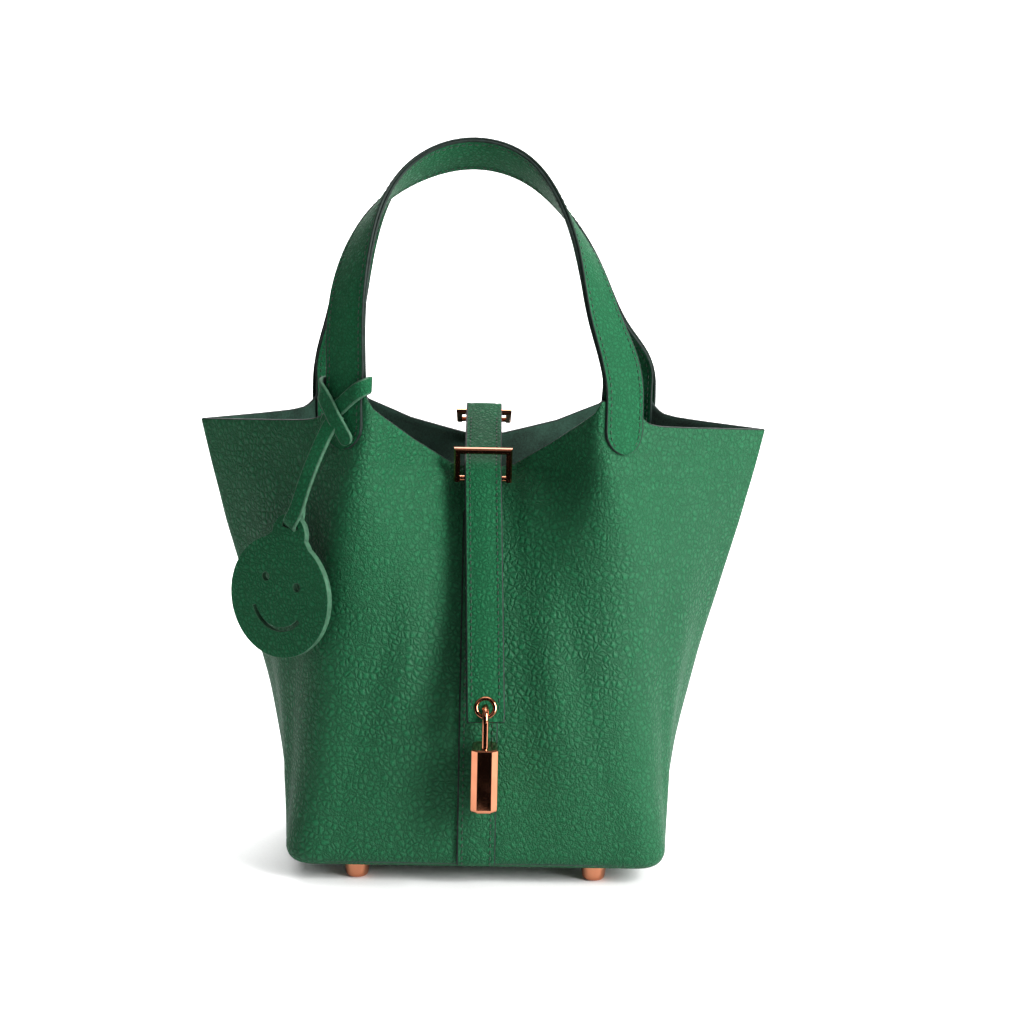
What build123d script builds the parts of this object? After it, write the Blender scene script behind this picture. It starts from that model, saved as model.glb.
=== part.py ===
from build123d import *
import math
import os
from functools import lru_cache

# Bucket handbag in soft leather: a shell pinched at the top by a closing strap, two arched
# handles, a hanging padlock and a leather charm.
# Millimetres, +Z up. X runs across the bag, -Y is the front, Z = 0 is the surface it stands on.

# ---- shell -------------------------------------------------------------------------------
FOOT_HEIGHT = 7.0
LEATHER = 2.0
RIM_HEIGHT = 192.0            # height of the two side tips
SHELL_TOP = 224.0             # the walls are lofted to here, then cut down to the crown line
BASE_HALF_WIDTH = 82.5
BASE_HALF_DEPTH = 62.0
TIP_X = 126.5
FRONT_FOLD = (47.9, 56.1)     # where the front panel folds into the side panel, at rim height
BACK_FOLD = (60.9, 49.2)
FRONT_PINCH = 52.0            # how far the strap pulls the front centre in at rim height
BACK_PINCH = 24.0
FRONT_RIM = 176.0             # the pinch grows no deeper above the front rim
FRONT_PINCH_POWER = 2.6
BACK_PINCH_POWER = 1.5
CENTRE_FLAT = 13.0            # half width of the flat under the seam strips and front ring
BASE_CORNER_RADIUS = 15.0
FOLD_RADIUS = 3.0
SEAM_GAP = 0.3
LEVELS = (FOOT_HEIGHT, 9.0, 12.0, 17.0, 40.0, 65.0, 90.0, 115.0, 140.0, 160.0, 175.0, 192.0, SHELL_TOP)
BASE_ROUNDING = {FOOT_HEIGHT: 7.0, 9.0: 3.4, 12.0: 1.1}

# crown line: height of the cut edge against the distance from the middle
FRONT_CROWN = ((0, 173.6), (14, 177), (30, 188), (44, 199.5), (48.6, 204.5))
BACK_CROWN = ((0, 183.4), (34, 191.7), (56, 200.5), (61.6, 204.5))
OUTER_CROTCH = 198.0
OUTER_CROTCH_RUN = 6.0

# ---- base, feet and seam strips --------------------------------------------------------------
BASE_PANEL_TOP = 9.0
BOARD_TOP = 11.0
LINING_TOP = 12.2
FOOT_X = 51.0
FOOT_Y = 48.0
FOOT_TOP_RADIUS = 5.8
FOOT_BOTTOM_RADIUS = 4.8
STUD_RADIUS = 1.5
STUD_HOLE_RADIUS = 1.6
WASHER_RADIUS = 4.5
WASHER_THICKNESS = 1.0
STRIP_WIDTH = 16.5
STRIP_THICKNESS = 1.8
STRIP_TOP = 157.0
BACK_STRIP_TOP = 166.0
BACK_TAB_RISE = 186.4         # where the back tab clears the rim and leans forward

# ---- handles -----------------------------------------------------------------------------------
HANDLE_WIDTH = 20.0
HANDLE_LAYER = 1.3
LEG_INSET = 13.0              # from the panel fold to the middle of the handle leg
END_HEIGHT = 184.0            # lowest point of the sewn handle ends
HINGE_HEIGHT = 222.5          # the leather arch bends about this line
HINGE_RADIUS = 10.0
HINGE_CLEARANCE = 0.4
ARCH_TILT = 33.0              # how far the arch leans over at its top, degrees
ARCH_TWIST_POWER = 1.5
ARCH_SECTIONS = 28
FRONT_ARCH = ((-58.3, -45.5, 237), (-55.3, -37.5, 263), (-45.5, -26.5, 287.5), (-28, -19, 303.5),
              (-6, -16.5, 309.5), (14, -19.5, 304.5), (31.5, -28, 287), (43, -37.5, 264), (50.4, -45, 239))
BACK_ARCH = ((-65.5, 33.5, 236), (-60, 25, 260), (-50, 14.5, 285), (-33, 7, 303),
             (-6, 4.5, 311), (17, 7.5, 304), (35, 15, 287), (47.5, 25, 262), (58, 33.5, 237))

# ---- closing strap and its rings -----------------------------------------------------------------
STRAP_WIDTH = 16.0
STRAP_OUTER = 1.6
STRAP_LINING = 1.4
STRAP = STRAP_OUTER + STRAP_LINING
STRAP_BEND = (-32.5, 176.0)   # y, z of the bend where the strap leaves the front ring
TAIL_LENGTH = 109.8
TAIL_ANGLE = 22.4             # degrees forward of straight down
TAIL_LEAN = 1.6               # degrees to the side
BEND_GAP = 0.6
RING_WIDTH = 25.0
RING_BAR = 2.6
RING_BEVEL = 0.6
RING_PIN_RADIUS = 1.2
RING_HEIGHT = 12.8            # pin centre to top bar centre
RING_FIT = 0.06
TAB_WIDTH = 15.0
TAB_LEATHER = 1.5
FRONT_PIN = (-27.6, 170.8)
FRONT_RING_TILT = 17.0        # degrees forward of upright
REAR_PIN = (26.2, 192.6)
REAR_BAR = (13.6, 196.8)
REAR_LOOP_RADIUS = 2.5        # loose fold of the strap round the rear ring's bar
EYELET_FROM_END = 5.8
EYELET_RADIUS = 4.8
EYELET_HOLE = 3.0
EYELET_BARREL = 3.4
EYELET_FLANGE = 0.6

# ---- padlock --------------------------------------------------------------------------------------
LOCK_TOP = 64.0
LOCK_SEAM = 40.6
LOCK_BOTTOM = 37.2
LOCK_WIDTH = 10.8
LOCK_DEPTH = 17.0
LOCK_CHAMFER = 2.4
SHACKLE_RADIUS = 1.3
SHACKLE_BORE = 1.4
SHACKLE_HALF_SPAN = 6.0
SHACKLE_LIFT = 0.85           # bar centre above the eyelet's, at rest
LONG_LEG_END = 46.0
SHORT_LEG_END = 57.5
PLUG_RADIUS = 2.5
PLUG_BORE = 2.55
PLUG_TOP = 54.0
PLUG_Y = 1.0                  # the plug sits nearer the short leg
CAM_Z = (59.0, 61.4)
CAM_REACH = 4.3               # from the plug's axis; the tab turns into the short leg's notch
CAM_HALF_WIDTH = 1.0
CAM_HUB_RADIUS = 2.0
CAM_NECK_RADIUS = 1.2
CAM_ROOM_RADIUS = 4.6
NOTCH_ROOM = 0.2

# ---- charm -----------------------------------------------------------------------------------------
CHARM_RADIUS = 26.0
CHARM_THICKNESS = 3.0
CHARM_CENTRE = (-84.6, -48.2, 121.3)
CHARM_TURN = 33.0             # degrees from facing straight ahead
CHARM_TILT = 11.0             # degrees clockwise
CHARM_TAB_HALF = 8.5
CHARM_TAB_TOP = 36.0
CHARM_SLOT_AT = 31.0
CHARM_SLOT = (9.0, 2.6)
EYE_PLACE = (8.5, 6.5)        # a plain face: round eyes and one even arc about the disc's middle
EYE_RADIUS = 2.2
SMILE_RADII = (13.0, 15.4)
SMILE_TOP = -7.0              # height of the smile's two ends
THONG_WIDTH = 7.0
THONG = 1.6
WRAP_Z = (205.2, 211.2)
WRAP_SLACK = 0.4
WRAP_ROOM = 1.7               # over the thickness, where the ear curls into the fold
TIP_LIFT = 0.2                # the crossed tip stands off the leather
THONG_PATH = ((-66.5, -49.0, 187.5), (-71.4, -53.4, 177.0), (-75.6, -57.2, 165.0), (-79.7, -54.7, 153.5))

# The strap, padlock and charm stand out at the front, so the frame's origin is moved forward
# to the middle of the whole bag's footprint.
FRAME_SHIFT = 8.5


def save(name, shape):
    """Write one piece, moved into the bag's frame."""
    export_step(Pos(0, FRAME_SHIFT, 0) * shape, f"parts/{name}.step")


def block(x, y, z):
    """Box from three (low, high) pairs."""
    size = [b - a for a, b in (x, y, z)]
    return Pos(*[(a + b) / 2 for a, b in (x, y, z)]) * Box(*size)


def rod_x(y, z, radius, width):
    return Pos(0, y, z) * Rot(Y=90) * Cylinder(radius, width)


# ---- shell outline --------------------------------------------------------------------------------

def fraction(z):
    """0 at the base and 1 at the rim; the ears above the rim stand straight up."""
    return min((z - FOOT_HEIGHT) / (RIM_HEIGHT - FOOT_HEIGHT), 1)


def mix(a, b, t):
    return a + (b - a) * t


def side_tip(z):
    return mix(BASE_HALF_WIDTH, TIP_X, fraction(z))


def fold(z, front):
    """Half width and depth of the panel fold at a height."""
    top = FRONT_FOLD if front else BACK_FOLD
    t = fraction(z)
    return mix(BASE_HALF_WIDTH, top[0], t), mix(BASE_HALF_DEPTH, top[1], t)


def centre_depth(z, front):
    """Depth of the flat at the middle of the front or back panel."""
    t = fraction(min(z, FRONT_RIM if front else RIM_HEIGHT))
    if front:
        return BASE_HALF_DEPTH - FRONT_PINCH * t ** FRONT_PINCH_POWER
    return BASE_HALF_DEPTH - BACK_PINCH * t ** BACK_PINCH_POWER


def outline_corners(z):
    """Corners of the outer outline, counter-clockwise, with their fold radii."""
    radius = mix(BASE_CORNER_RADIUS, FOLD_RADIUS, fraction(z))
    front_x, front_y = fold(z, True)
    back_x, back_y = fold(z, False)
    right = [(CENTRE_FLAT, -centre_depth(z, True), 0), (front_x, -front_y, radius), (side_tip(z), 0, 0),
             (back_x, back_y, radius), (CENTRE_FLAT, centre_depth(z, False), 0)]
    left = [(-x, y, r) for x, y, r in reversed(right)]
    return right + left


def inset_corners(corners, inset):
    """Move every side of the outline inwards by the same distance."""
    moved = []
    for i, (x, y, radius) in enumerate(corners):
        before = Vector(x, y) - Vector(*corners[i - 1][:2])
        after = Vector(*corners[(i + 1) % len(corners)][:2]) - Vector(x, y)
        n1 = Vector(-before.Y, before.X).normalized()
        n2 = Vector(-after.Y, after.X).normalized()
        shift = (n1 + n2) * (inset / (1 + n1.dot(n2)))
        moved.append((Vector(x, y) + shift, max(radius - inset, 1.0) if radius else 0))
    return moved


def outline(z, inset):
    """Closed outline at a height, with the panel folds rounded."""
    corners = inset_corners(outline_corners(z), inset + BASE_ROUNDING.get(z, 0))
    ends = []
    for i, (corner, radius) in enumerate(corners):
        to_last = (corners[i - 1][0] - corner).normalized()
        to_next = (corners[(i + 1) % len(corners)][0] - corner).normalized()
        if not radius:
            ends.append((corner, None, corner))
            continue
        half = math.radians(to_last.get_angle(to_next)) / 2
        run = radius / math.tan(half)
        middle = corner + (to_last + to_next).normalized() * (radius / math.sin(half) - radius)
        ends.append((corner + to_last * run, middle, corner + to_next * run))
    edges = []
    for i, (start, middle, end) in enumerate(ends):
        if middle is not None:
            edges.append(Edge.make_three_point_arc(start, middle, end))
        edges.append(Edge.make_line(end, ends[(i + 1) % len(ends)][0]))
    return Pos(0, 0, z) * Wire(edges)


@lru_cache
def skin(inset):
    """Solid bounded by the bag's outer surface moved inwards by inset."""
    return Solid.make_loft([outline(z, inset) for z in LEVELS], ruled=True)


def shell(outer, inner):
    return skin(outer) - skin(inner)


# ---- handle legs ---------------------------------------------------------------------------------

def side_run(front, side):
    """Unit vector along the side panel at rim height, from the fold to the tip."""
    x, y = FRONT_FOLD if front else BACK_FOLD
    run = Vector(TIP_X - x, -y).normalized()
    return Vector(side * run.X, -run.Y if front else run.Y)


def leg_centre(front, side):
    x, y = FRONT_FOLD if front else BACK_FOLD
    start = Vector(side * x, -y if front else y)
    outward = side_normal(front, side)
    return start + side_run(front, side) * LEG_INSET - outward * (LEATHER / 2)


def side_normal(front, side):
    run = side_run(front, side)
    return Vector(side * abs(run.Y), -abs(run.X) if front else abs(run.X))


def leg_plane(front, side, z):
    """Plane standing on the leg: x along the strap's width, y up, z out of the bag."""
    centre = leg_centre(front, side)
    normal = side_normal(front, side)
    return Plane(origin=(centre.X, centre.Y, z), x_dir=Vector(-normal.Y, normal.X), z_dir=normal)


def leg_column(front, side, half_width, low, reach=9.0):
    """Round-ended column that a handle's sewn end fills."""
    plane = leg_plane(front, side, low + half_width)
    height = SHELL_TOP - low - half_width
    profile = Pos(0, height / 2) * Rectangle(2 * half_width, height) + Circle(half_width)
    return extrude(plane * profile, reach, both=True)


def hinge_y(front):
    return leg_centre(front, 1).Y


def hinge_room(front):
    """Everything the swinging arch sweeps just above its hinge line."""
    radius = HINGE_RADIUS + HINGE_CLEARANCE
    y = hinge_y(front)
    above = block((-100, 100), (y - 20, y + 20), (HINGE_HEIGHT, SHELL_TOP + 10))
    return rod_x(y, HINGE_HEIGHT, radius, 200) + above


def handle_ends(front, outer, inner):
    """The sewn ends of one handle layer, on one face of the bag's ears."""
    layer = shell(outer, inner)
    ends = [layer & leg_column(front, side, HANDLE_WIDTH / 2, END_HEIGHT) for side in (-1, 1)]
    return Compound([piece for end in ends for piece in (end - hinge_room(front)).solids()])


# ---- body ---------------------------------------------------------------------------------------

def crown_cut(front):
    """Everything above the rim of the front or back panel, with the ears left standing."""
    crown = FRONT_CROWN if front else BACK_CROWN
    centre = leg_centre(front, 1)
    half = side_run(front, 1).X * HANDLE_WIDTH / 2
    ear_in, ear_out = centre.X - half, centre.X + half
    line = list(crown) + [(ear_in, crown[-1][1]), (ear_in, SHELL_TOP + 1), (ear_out, SHELL_TOP + 1),
                          (ear_out, OUTER_CROTCH), (ear_out + OUTER_CROTCH_RUN, RIM_HEIGHT + 3),
                          (TIP_X, RIM_HEIGHT), (TIP_X + 20, RIM_HEIGHT)]
    top = SHELL_TOP + 2
    right = line + [(TIP_X + 20, top), (0, top)]
    outline_face = make_face(Polyline(*right, close=True))
    face = outline_face + mirror(outline_face, about=Plane.YZ)
    depth = -80 if front else 80
    return extrude(Plane.XZ * face, -depth)


def body_wall():
    wall = shell(0, LEATHER) & block((-200, 200), (-100, 100), (BASE_PANEL_TOP, SHELL_TOP))
    for front in (True, False):
        wall = wall - crown_cut(front) - hinge_room(front)
    return wall


def body_half(wall, side):
    reach = (SEAM_GAP / 2, 200) if side > 0 else (-200, -SEAM_GAP / 2)
    return wall & block(reach, (-100, 100), (0, SHELL_TOP))


def seam_strip(front):
    """Band sewn over the seam between the two halves."""
    depth = (-80, 0) if front else (0, 80)
    top = STRIP_TOP if front else BACK_STRIP_TOP
    reach = block((-STRIP_WIDTH / 2, STRIP_WIDTH / 2), depth, (BASE_PANEL_TOP, top))
    return shell(-STRIP_THICKNESS, 0) & reach


def foot_places():
    return [(x, y) for x in (-FOOT_X, FOOT_X) for y in (-FOOT_Y, FOOT_Y)]


def base_layer(inset, low, high):
    layer = skin(inset) & block((-200, 200), (-100, 100), (low, high))
    for x, y in foot_places():
        layer -= Pos(x, y, low) * Cylinder(STUD_HOLE_RADIUS, 20)
    return layer


def feet():
    """Turned studs: a tapered foot and the pin that goes up through the base."""
    pin_top = LINING_TOP + WASHER_THICKNESS
    foot = Pos(0, 0, FOOT_HEIGHT / 2) * Cone(FOOT_BOTTOM_RADIUS, FOOT_TOP_RADIUS, FOOT_HEIGHT)
    foot = fillet(foot.edges().group_by(Axis.Z)[0], 0.8)
    foot += Pos(0, 0, (FOOT_HEIGHT + pin_top) / 2) * Cylinder(STUD_RADIUS, pin_top - FOOT_HEIGHT)
    return Compound([Pos(x, y) * foot for x, y in foot_places()])


def foot_washers():
    washer = Cylinder(WASHER_RADIUS, WASHER_THICKNESS) - Cylinder(STUD_RADIUS + 0.02, 10)
    middle = LINING_TOP + WASHER_THICKNESS / 2
    return Compound([Pos(x, y, middle) * washer for x, y in foot_places()])


# ---- handle arches ---------------------------------------------------------------------------------

def arch_path(front):
    """Centre line of the arch, from the left hinge over the top to the right hinge."""
    start, end = leg_centre(front, -1), leg_centre(front, 1)
    low = HINGE_HEIGHT - HINGE_RADIUS
    middle = FRONT_ARCH if front else BACK_ARCH
    points = [(start.X, start.Y, low), *middle, (end.X, end.Y, low)]
    return Edge.make_spline([Vector(*p) for p in points])


def arch_frame(path, front, u):
    """Point, width direction and outward direction of the arch's strap."""
    point = path @ u
    tangent = (path % u).normalized()
    side = -1 if u < 0.5 else 1
    apex = max((path @ v).Z for v in (0.45, 0.5, 0.55))
    rise = min(max((point.Z - HINGE_HEIGHT) / (apex - HINGE_HEIGHT), 0), 1)
    turn = rise ** ARCH_TWIST_POWER
    tilt = math.radians(ARCH_TILT)
    sign = 1 if front else -1
    across_top = Vector(0, sign * math.cos(tilt), -math.sin(tilt))
    width = side_run(front, side) * (1 - turn) + across_top * turn
    width = (width - tangent * width.dot(tangent)).normalized()
    return point, width, tangent.cross(width) * sign


def arch_layer(front, low, high):
    """One leather layer of the arch, between two distances from its middle surface."""
    path = arch_path(front)
    sections = []
    for i in range(ARCH_SECTIONS + 1):
        point, width, outward = arch_frame(path, front, i / ARCH_SECTIONS)
        half = width * (HANDLE_WIDTH / 2)
        corners = [point - half + outward * low, point + half + outward * low,
                   point + half + outward * high, point - half + outward * high]
        sections.append(Wire.make_polygon(corners, close=True))
    layer = Solid.make_loft(sections, ruled=True)
    y = hinge_y(front)
    room = rod_x(y, HINGE_HEIGHT, HINGE_RADIUS, 200)
    room += block((-120, 120), (-80, 80), (HINGE_HEIGHT, HINGE_HEIGHT + 120))
    return layer & room


# ---- closing strap -----------------------------------------------------------------------------------

def across(profile, width):
    """Extrude a y-z profile evenly to both sides of the middle."""
    return extrude(Plane.YZ * profile, width / 2, both=True)


def band(start, end, below, above):
    """Flat band between two y-z points, reaching below and above the line between them."""
    along = (Vector(*end) - Vector(*start)).normalized()
    up = Vector(-along.Y, along.X)
    a, b = Vector(*start), Vector(*end)
    corners = [a - up * below, b - up * below, b + up * above, a + up * above]
    return make_face(Polyline(*corners, close=True))


def ring_frame(pin, bar):
    """Ring of square bars with a round pin, between two y-z points."""
    pin, bar = Vector(*pin), Vector(*bar)
    along = (bar - pin).normalized()
    height = (bar - pin).length
    half = RING_BAR / 2
    frame = block((-RING_WIDTH / 2, RING_WIDTH / 2), (-half, half), (-half, height + half))
    window = RING_WIDTH - 2 * RING_BAR
    frame -= block((-window / 2, window / 2), (-half, half), (-half, height - half))
    frame = chamfer(frame.edges().filter_by(Axis.Z).group_by(Axis.X)[0], RING_BEVEL)
    frame = chamfer(frame.edges().filter_by(Axis.Z).group_by(Axis.X)[-1], RING_BEVEL)
    frame = chamfer(frame.edges().filter_by(Axis.X).group_by(Axis.Z)[-1], RING_BEVEL)
    low = height - half
    under = frame.edges().filter_by(Axis.X).filter_by_position(Axis.Z, low - 0.1, low + 0.1)
    frame = chamfer(under, RING_BEVEL)
    frame += rod_x(0, 0, RING_PIN_RADIUS, RING_WIDTH - RING_BAR)
    turn = math.degrees(math.atan2(along.Y, along.X)) - 90
    return Pos(0, pin.X, pin.Y) * Rot(X=turn) * frame


def front_ring_bar():
    tilt = math.radians(FRONT_RING_TILT)
    return FRONT_PIN[0] - RING_HEIGHT * math.sin(tilt), FRONT_PIN[1] + RING_HEIGHT * math.cos(tilt)


def front_ring_tab():
    """Leather tab sewn above the front strip and folded round the front ring's pin."""
    y, z = FRONT_PIN
    bore = RING_PIN_RADIUS + RING_FIT
    reach = block((-TAB_WIDTH / 2, TAB_WIDTH / 2), (-80, 0), (STRIP_TOP + SEAM_GAP, z))
    tab = shell(-STRIP_THICKNESS, 0) & reach
    tab += rod_x(y, z, bore + TAB_LEATHER, TAB_WIDTH) - skin(0)
    return tab - rod_x(y, z, bore, TAB_WIDTH + 2)


def back_ring_tab():
    """Leather tab that rises from the back panel and holds the rear ring's pin."""
    y, z = REAR_PIN
    bore = RING_PIN_RADIUS + RING_FIT
    reach = block((-TAB_WIDTH / 2, TAB_WIDTH / 2), (0, 80), (BACK_STRIP_TOP + SEAM_GAP, BACK_TAB_RISE))
    tab = shell(-STRIP_THICKNESS, 0) & reach
    half = STRIP_THICKNESS / 2
    bend = (centre_depth(BACK_TAB_RISE, False) + half, BACK_TAB_RISE)
    tab += across(band(bend, (y, z), half, half), TAB_WIDTH) & block((-20, 20), (0, 80), (bend[1], z + 10))
    tab += rod_x(*bend, half, TAB_WIDTH)
    tab += rod_x(y, z, bore + TAB_LEATHER, TAB_WIDTH)
    return tab - rod_x(y, z, bore, TAB_WIDTH + 2)


def strap_bridge():
    """Strap across the mouth: folded round the rear ring's bar, then down through the front ring."""
    bar = Vector(*REAR_BAR)
    bend = Vector(*STRAP_BEND)
    outer = REAR_LOOP_RADIUS + STRAP_OUTER
    lift = outer - STRAP / 2
    run = bar - bend
    slope = math.atan2(run.Y, run.X) - math.asin(lift / run.length)
    up = Vector(-math.sin(slope), math.cos(slope))
    start = bar + up * lift
    half = STRAP / 2
    strap = across(band((bend.X, bend.Y), (start.X, start.Y), half, half), STRAP_WIDTH)
    strap += rod_x(bar.X, bar.Y, outer, STRAP_WIDTH)
    strap -= rod_x(bar.X, bar.Y, REAR_LOOP_RADIUS, STRAP_WIDTH + 2)
    return strap - rod_x(bend.X, bend.Y, half + BEND_GAP, STRAP_WIDTH + 2)


def on_tail(shape):
    """Place a piece made hanging straight down from the origin onto the strap's tail."""
    y, z = STRAP_BEND
    return Pos(0, y, z) * Rot(X=-TAIL_ANGLE) * Rot(Y=-TAIL_LEAN) * shape


def eyelet_axis(radius, low, high):
    """Cylinder square to the strap at the eyelet."""
    drop = TAIL_LENGTH - EYELET_FROM_END
    return Pos(0, (low + high) / 2, -drop) * Rot(X=90) * Cylinder(radius, high - low)


def tail_layer(front, back):
    """One layer of the hanging tail; the strap's outer face looks to the front."""
    half = STRAP_WIDTH / 2
    layer = block((-half, half), (front, back), (-TAIL_LENGTH, 0))
    layer += rod_x(0, 0, STRAP / 2, STRAP_WIDTH) & block((-half, half), (front, back), (0, STRAP))
    return on_tail(layer - eyelet_axis(EYELET_BARREL, front - 1, back + 1))


def eyelet_front():
    face = -STRAP / 2
    eyelet = eyelet_axis(EYELET_RADIUS, face - EYELET_FLANGE, face)
    eyelet += eyelet_axis(EYELET_BARREL, face, -face + EYELET_FLANGE)
    return on_tail(eyelet - eyelet_axis(EYELET_HOLE, -5, 5))


def eyelet_back():
    face = STRAP / 2
    washer = eyelet_axis(EYELET_RADIUS, face, face + EYELET_FLANGE)
    return on_tail(washer - eyelet_axis(EYELET_BARREL, 0, 5))


def eyelet_centre():
    drop = TAIL_LENGTH - EYELET_FROM_END
    side, forward = math.radians(TAIL_LEAN), math.radians(TAIL_ANGLE)
    reach = drop * math.cos(side)
    x = drop * math.sin(side)
    return x, STRAP_BEND[0] - reach * math.sin(forward), STRAP_BEND[1] - reach * math.cos(forward)


# ---- padlock ------------------------------------------------------------------------------------------

def at_lock(shape):
    x, y, _ = eyelet_centre()
    return Pos(x, y, 0) * shape


def rod_z(y, low, high, radius, x=0.0):
    return Pos(x, y, (low + high) / 2) * Cylinder(radius, high - low)


def padlock_shackle():
    """U of round bar through the eyelet, its long leg at the front, notched for the cam."""
    centre = eyelet_centre()[2] + SHACKLE_LIFT - SHACKLE_HALF_SPAN
    bow = Rot(Y=90) * Torus(SHACKLE_HALF_SPAN, SHACKLE_RADIUS)
    bow = Pos(0, 0, centre) * (bow & block((-5, 5), (-12, 12), (0, 12)))
    shackle = bow + rod_z(-SHACKLE_HALF_SPAN, LONG_LEG_END, centre, SHACKLE_RADIUS)
    shackle += rod_z(SHACKLE_HALF_SPAN, SHORT_LEG_END, centre, SHACKLE_RADIUS)
    inner = SHACKLE_HALF_SPAN - SHACKLE_RADIUS
    notch = block((-3, 3), (inner - 1, SHACKLE_HALF_SPAN), (CAM_Z[0] - NOTCH_ROOM, CAM_Z[1] + NOTCH_ROOM))
    return at_lock(shackle - notch)


def lock_block(low, high):
    half_x, half_y = LOCK_WIDTH / 2, LOCK_DEPTH / 2
    return block((-half_x, half_x), (-half_y, half_y), (low, high))


def lock_bores():
    bores = rod_z(-SHACKLE_HALF_SPAN, LONG_LEG_END - 7.5, LOCK_TOP + 1, SHACKLE_BORE)
    bores += rod_z(SHACKLE_HALF_SPAN, SHORT_LEG_END - 0.4, LOCK_TOP + 1, SHACKLE_BORE)
    return bores


def padlock_case():
    """Hollow case with chamfered upright edges, open below for the plug and its cam."""
    case = lock_block(LOCK_SEAM, LOCK_TOP)
    case = chamfer(case.edges().filter_by(Axis.Z), LOCK_CHAMFER)
    case = chamfer(case.faces().sort_by(Axis.Z)[-1].edges(), 0.6)
    case -= lock_bores()
    case -= rod_z(PLUG_Y, LOCK_SEAM - 1, CAM_Z[0], PLUG_BORE)
    case -= rod_z(PLUG_Y, CAM_Z[0] - NOTCH_ROOM, CAM_Z[1] + NOTCH_ROOM, CAM_ROOM_RADIUS)
    return at_lock(case)


def padlock_cap():
    """Rounded bottom plate with the keyhole."""
    cap = lock_block(LOCK_BOTTOM, LOCK_SEAM)
    cap = chamfer(cap.edges().filter_by(Axis.Z), LOCK_CHAMFER)
    cap = fillet(cap.faces().sort_by(Axis.Z)[0].edges(), 1.6)
    cap -= rod_z(PLUG_Y, LOCK_BOTTOM - 1, LOCK_SEAM + 1, PLUG_BORE)
    cap -= rod_z(-SHACKLE_HALF_SPAN, LOCK_SEAM - 2.2, LOCK_SEAM + 1, SHACKLE_BORE)
    return at_lock(cap)


def key_plug():
    """Round plug with a key slot below and a neck above that carries the cam."""
    plug = rod_z(PLUG_Y, LOCK_BOTTOM + 0.3, PLUG_TOP, PLUG_RADIUS)
    plug += rod_z(PLUG_Y, PLUG_TOP, CAM_Z[1], CAM_NECK_RADIUS)
    plug -= block((-0.45, 0.45), (PLUG_Y - 1.6, PLUG_Y + 1.6), (LOCK_BOTTOM - 1, LOCK_BOTTOM + 9))
    return at_lock(plug)


def lock_cam():
    """Plate pressed on the plug's neck; a quarter turn swings its tab into the shackle's notch."""
    cam = rod_z(PLUG_Y, *CAM_Z, CAM_HUB_RADIUS)
    cam += block((0, CAM_REACH), (PLUG_Y - CAM_HALF_WIDTH, PLUG_Y + CAM_HALF_WIDTH), CAM_Z)
    return at_lock(cam - rod_z(PLUG_Y, CAM_Z[0] - 1, CAM_Z[1] + 1, CAM_NECK_RADIUS))


# ---- charm ---------------------------------------------------------------------------------------------

def charm_plane(lift=0.0):
    """Plane of the charm: x to the viewer's right, y up, z towards the front."""
    turn = math.radians(CHARM_TURN)
    facing = Vector(-math.sin(turn), -math.cos(turn))
    origin = Vector(*CHARM_CENTRE) + facing * lift
    return Plane(origin=origin, x_dir=(math.cos(turn), -math.sin(turn), 0), z_dir=facing)


def charm():
    """Round leather face with a hanging tab, two round eyes and a plain arc cut right through."""
    disc = Circle(CHARM_RADIUS)
    neck = CHARM_TAB_TOP - CHARM_TAB_HALF
    disc += Pos(0, neck / 2) * Rectangle(2 * CHARM_TAB_HALF, neck)
    disc += Pos(0, neck) * Circle(CHARM_TAB_HALF)
    disc -= Pos(0, CHARM_SLOT_AT) * Rectangle(*CHARM_SLOT)
    for side in (-1, 1):
        disc -= Pos(side * EYE_PLACE[0], EYE_PLACE[1]) * Circle(EYE_RADIUS)
    smile = Circle(SMILE_RADII[1]) - Circle(SMILE_RADII[0])
    smile &= Pos(0, SMILE_TOP - CHARM_RADIUS / 2) * Rectangle(2 * CHARM_RADIUS, CHARM_RADIUS)
    disc -= smile
    tilted = Rot(Z=-CHARM_TILT) * disc
    return extrude(charm_plane() * tilted, CHARM_THICKNESS / 2, both=True)


def thong_wrap():
    """Thong tied round the foot of the left front handle, with its short tip in front."""
    plane = leg_plane(True, -1, 0)
    half_w = HANDLE_WIDTH / 2 + WRAP_SLACK
    half_t = LEATHER / 2 + HANDLE_LAYER + WRAP_ROOM
    low, high = WRAP_Z
    inner = Rectangle(2 * half_w, 2 * half_t)
    outer = Rectangle(2 * (half_w + THONG), 2 * (half_t + THONG))
    centre = leg_centre(True, -1)
    normal = side_normal(True, -1)
    flat = Plane(origin=(centre.X, centre.Y, low), x_dir=plane.x_dir, z_dir=(0, 0, 1))
    wrap = extrude(flat * (outer - inner), high - low)
    front = half_t + THONG
    tip = make_face(Polyline((-6, 209), (2, 209), (8.5, 190), (3, 186.5), (-2, 191), close=True))
    face = Plane(origin=centre + normal * (front - THONG + TIP_LIFT), x_dir=plane.x_dir, z_dir=normal)
    return wrap + extrude(face * tip, THONG)


def thong_sections():
    turn = math.radians(CHARM_TURN)
    facing = Vector(-math.sin(turn), -math.cos(turn))
    wires = []
    for i, point in enumerate(THONG_PATH):
        before = Vector(*THONG_PATH[max(i - 1, 0)])
        after = Vector(*THONG_PATH[min(i + 1, len(THONG_PATH) - 1)])
        along = (after - before).normalized()
        width = along.cross(facing).normalized() * (THONG_WIDTH / 2)
        depth = width.cross(along).normalized() * (THONG / 2)
        centre = Vector(*point)
        near, far = centre - depth, centre + depth
        corners = [near - width, near + width, far + width, far - width]
        wires.append(Wire.make_polygon(corners, close=True))
    return wires


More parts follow.
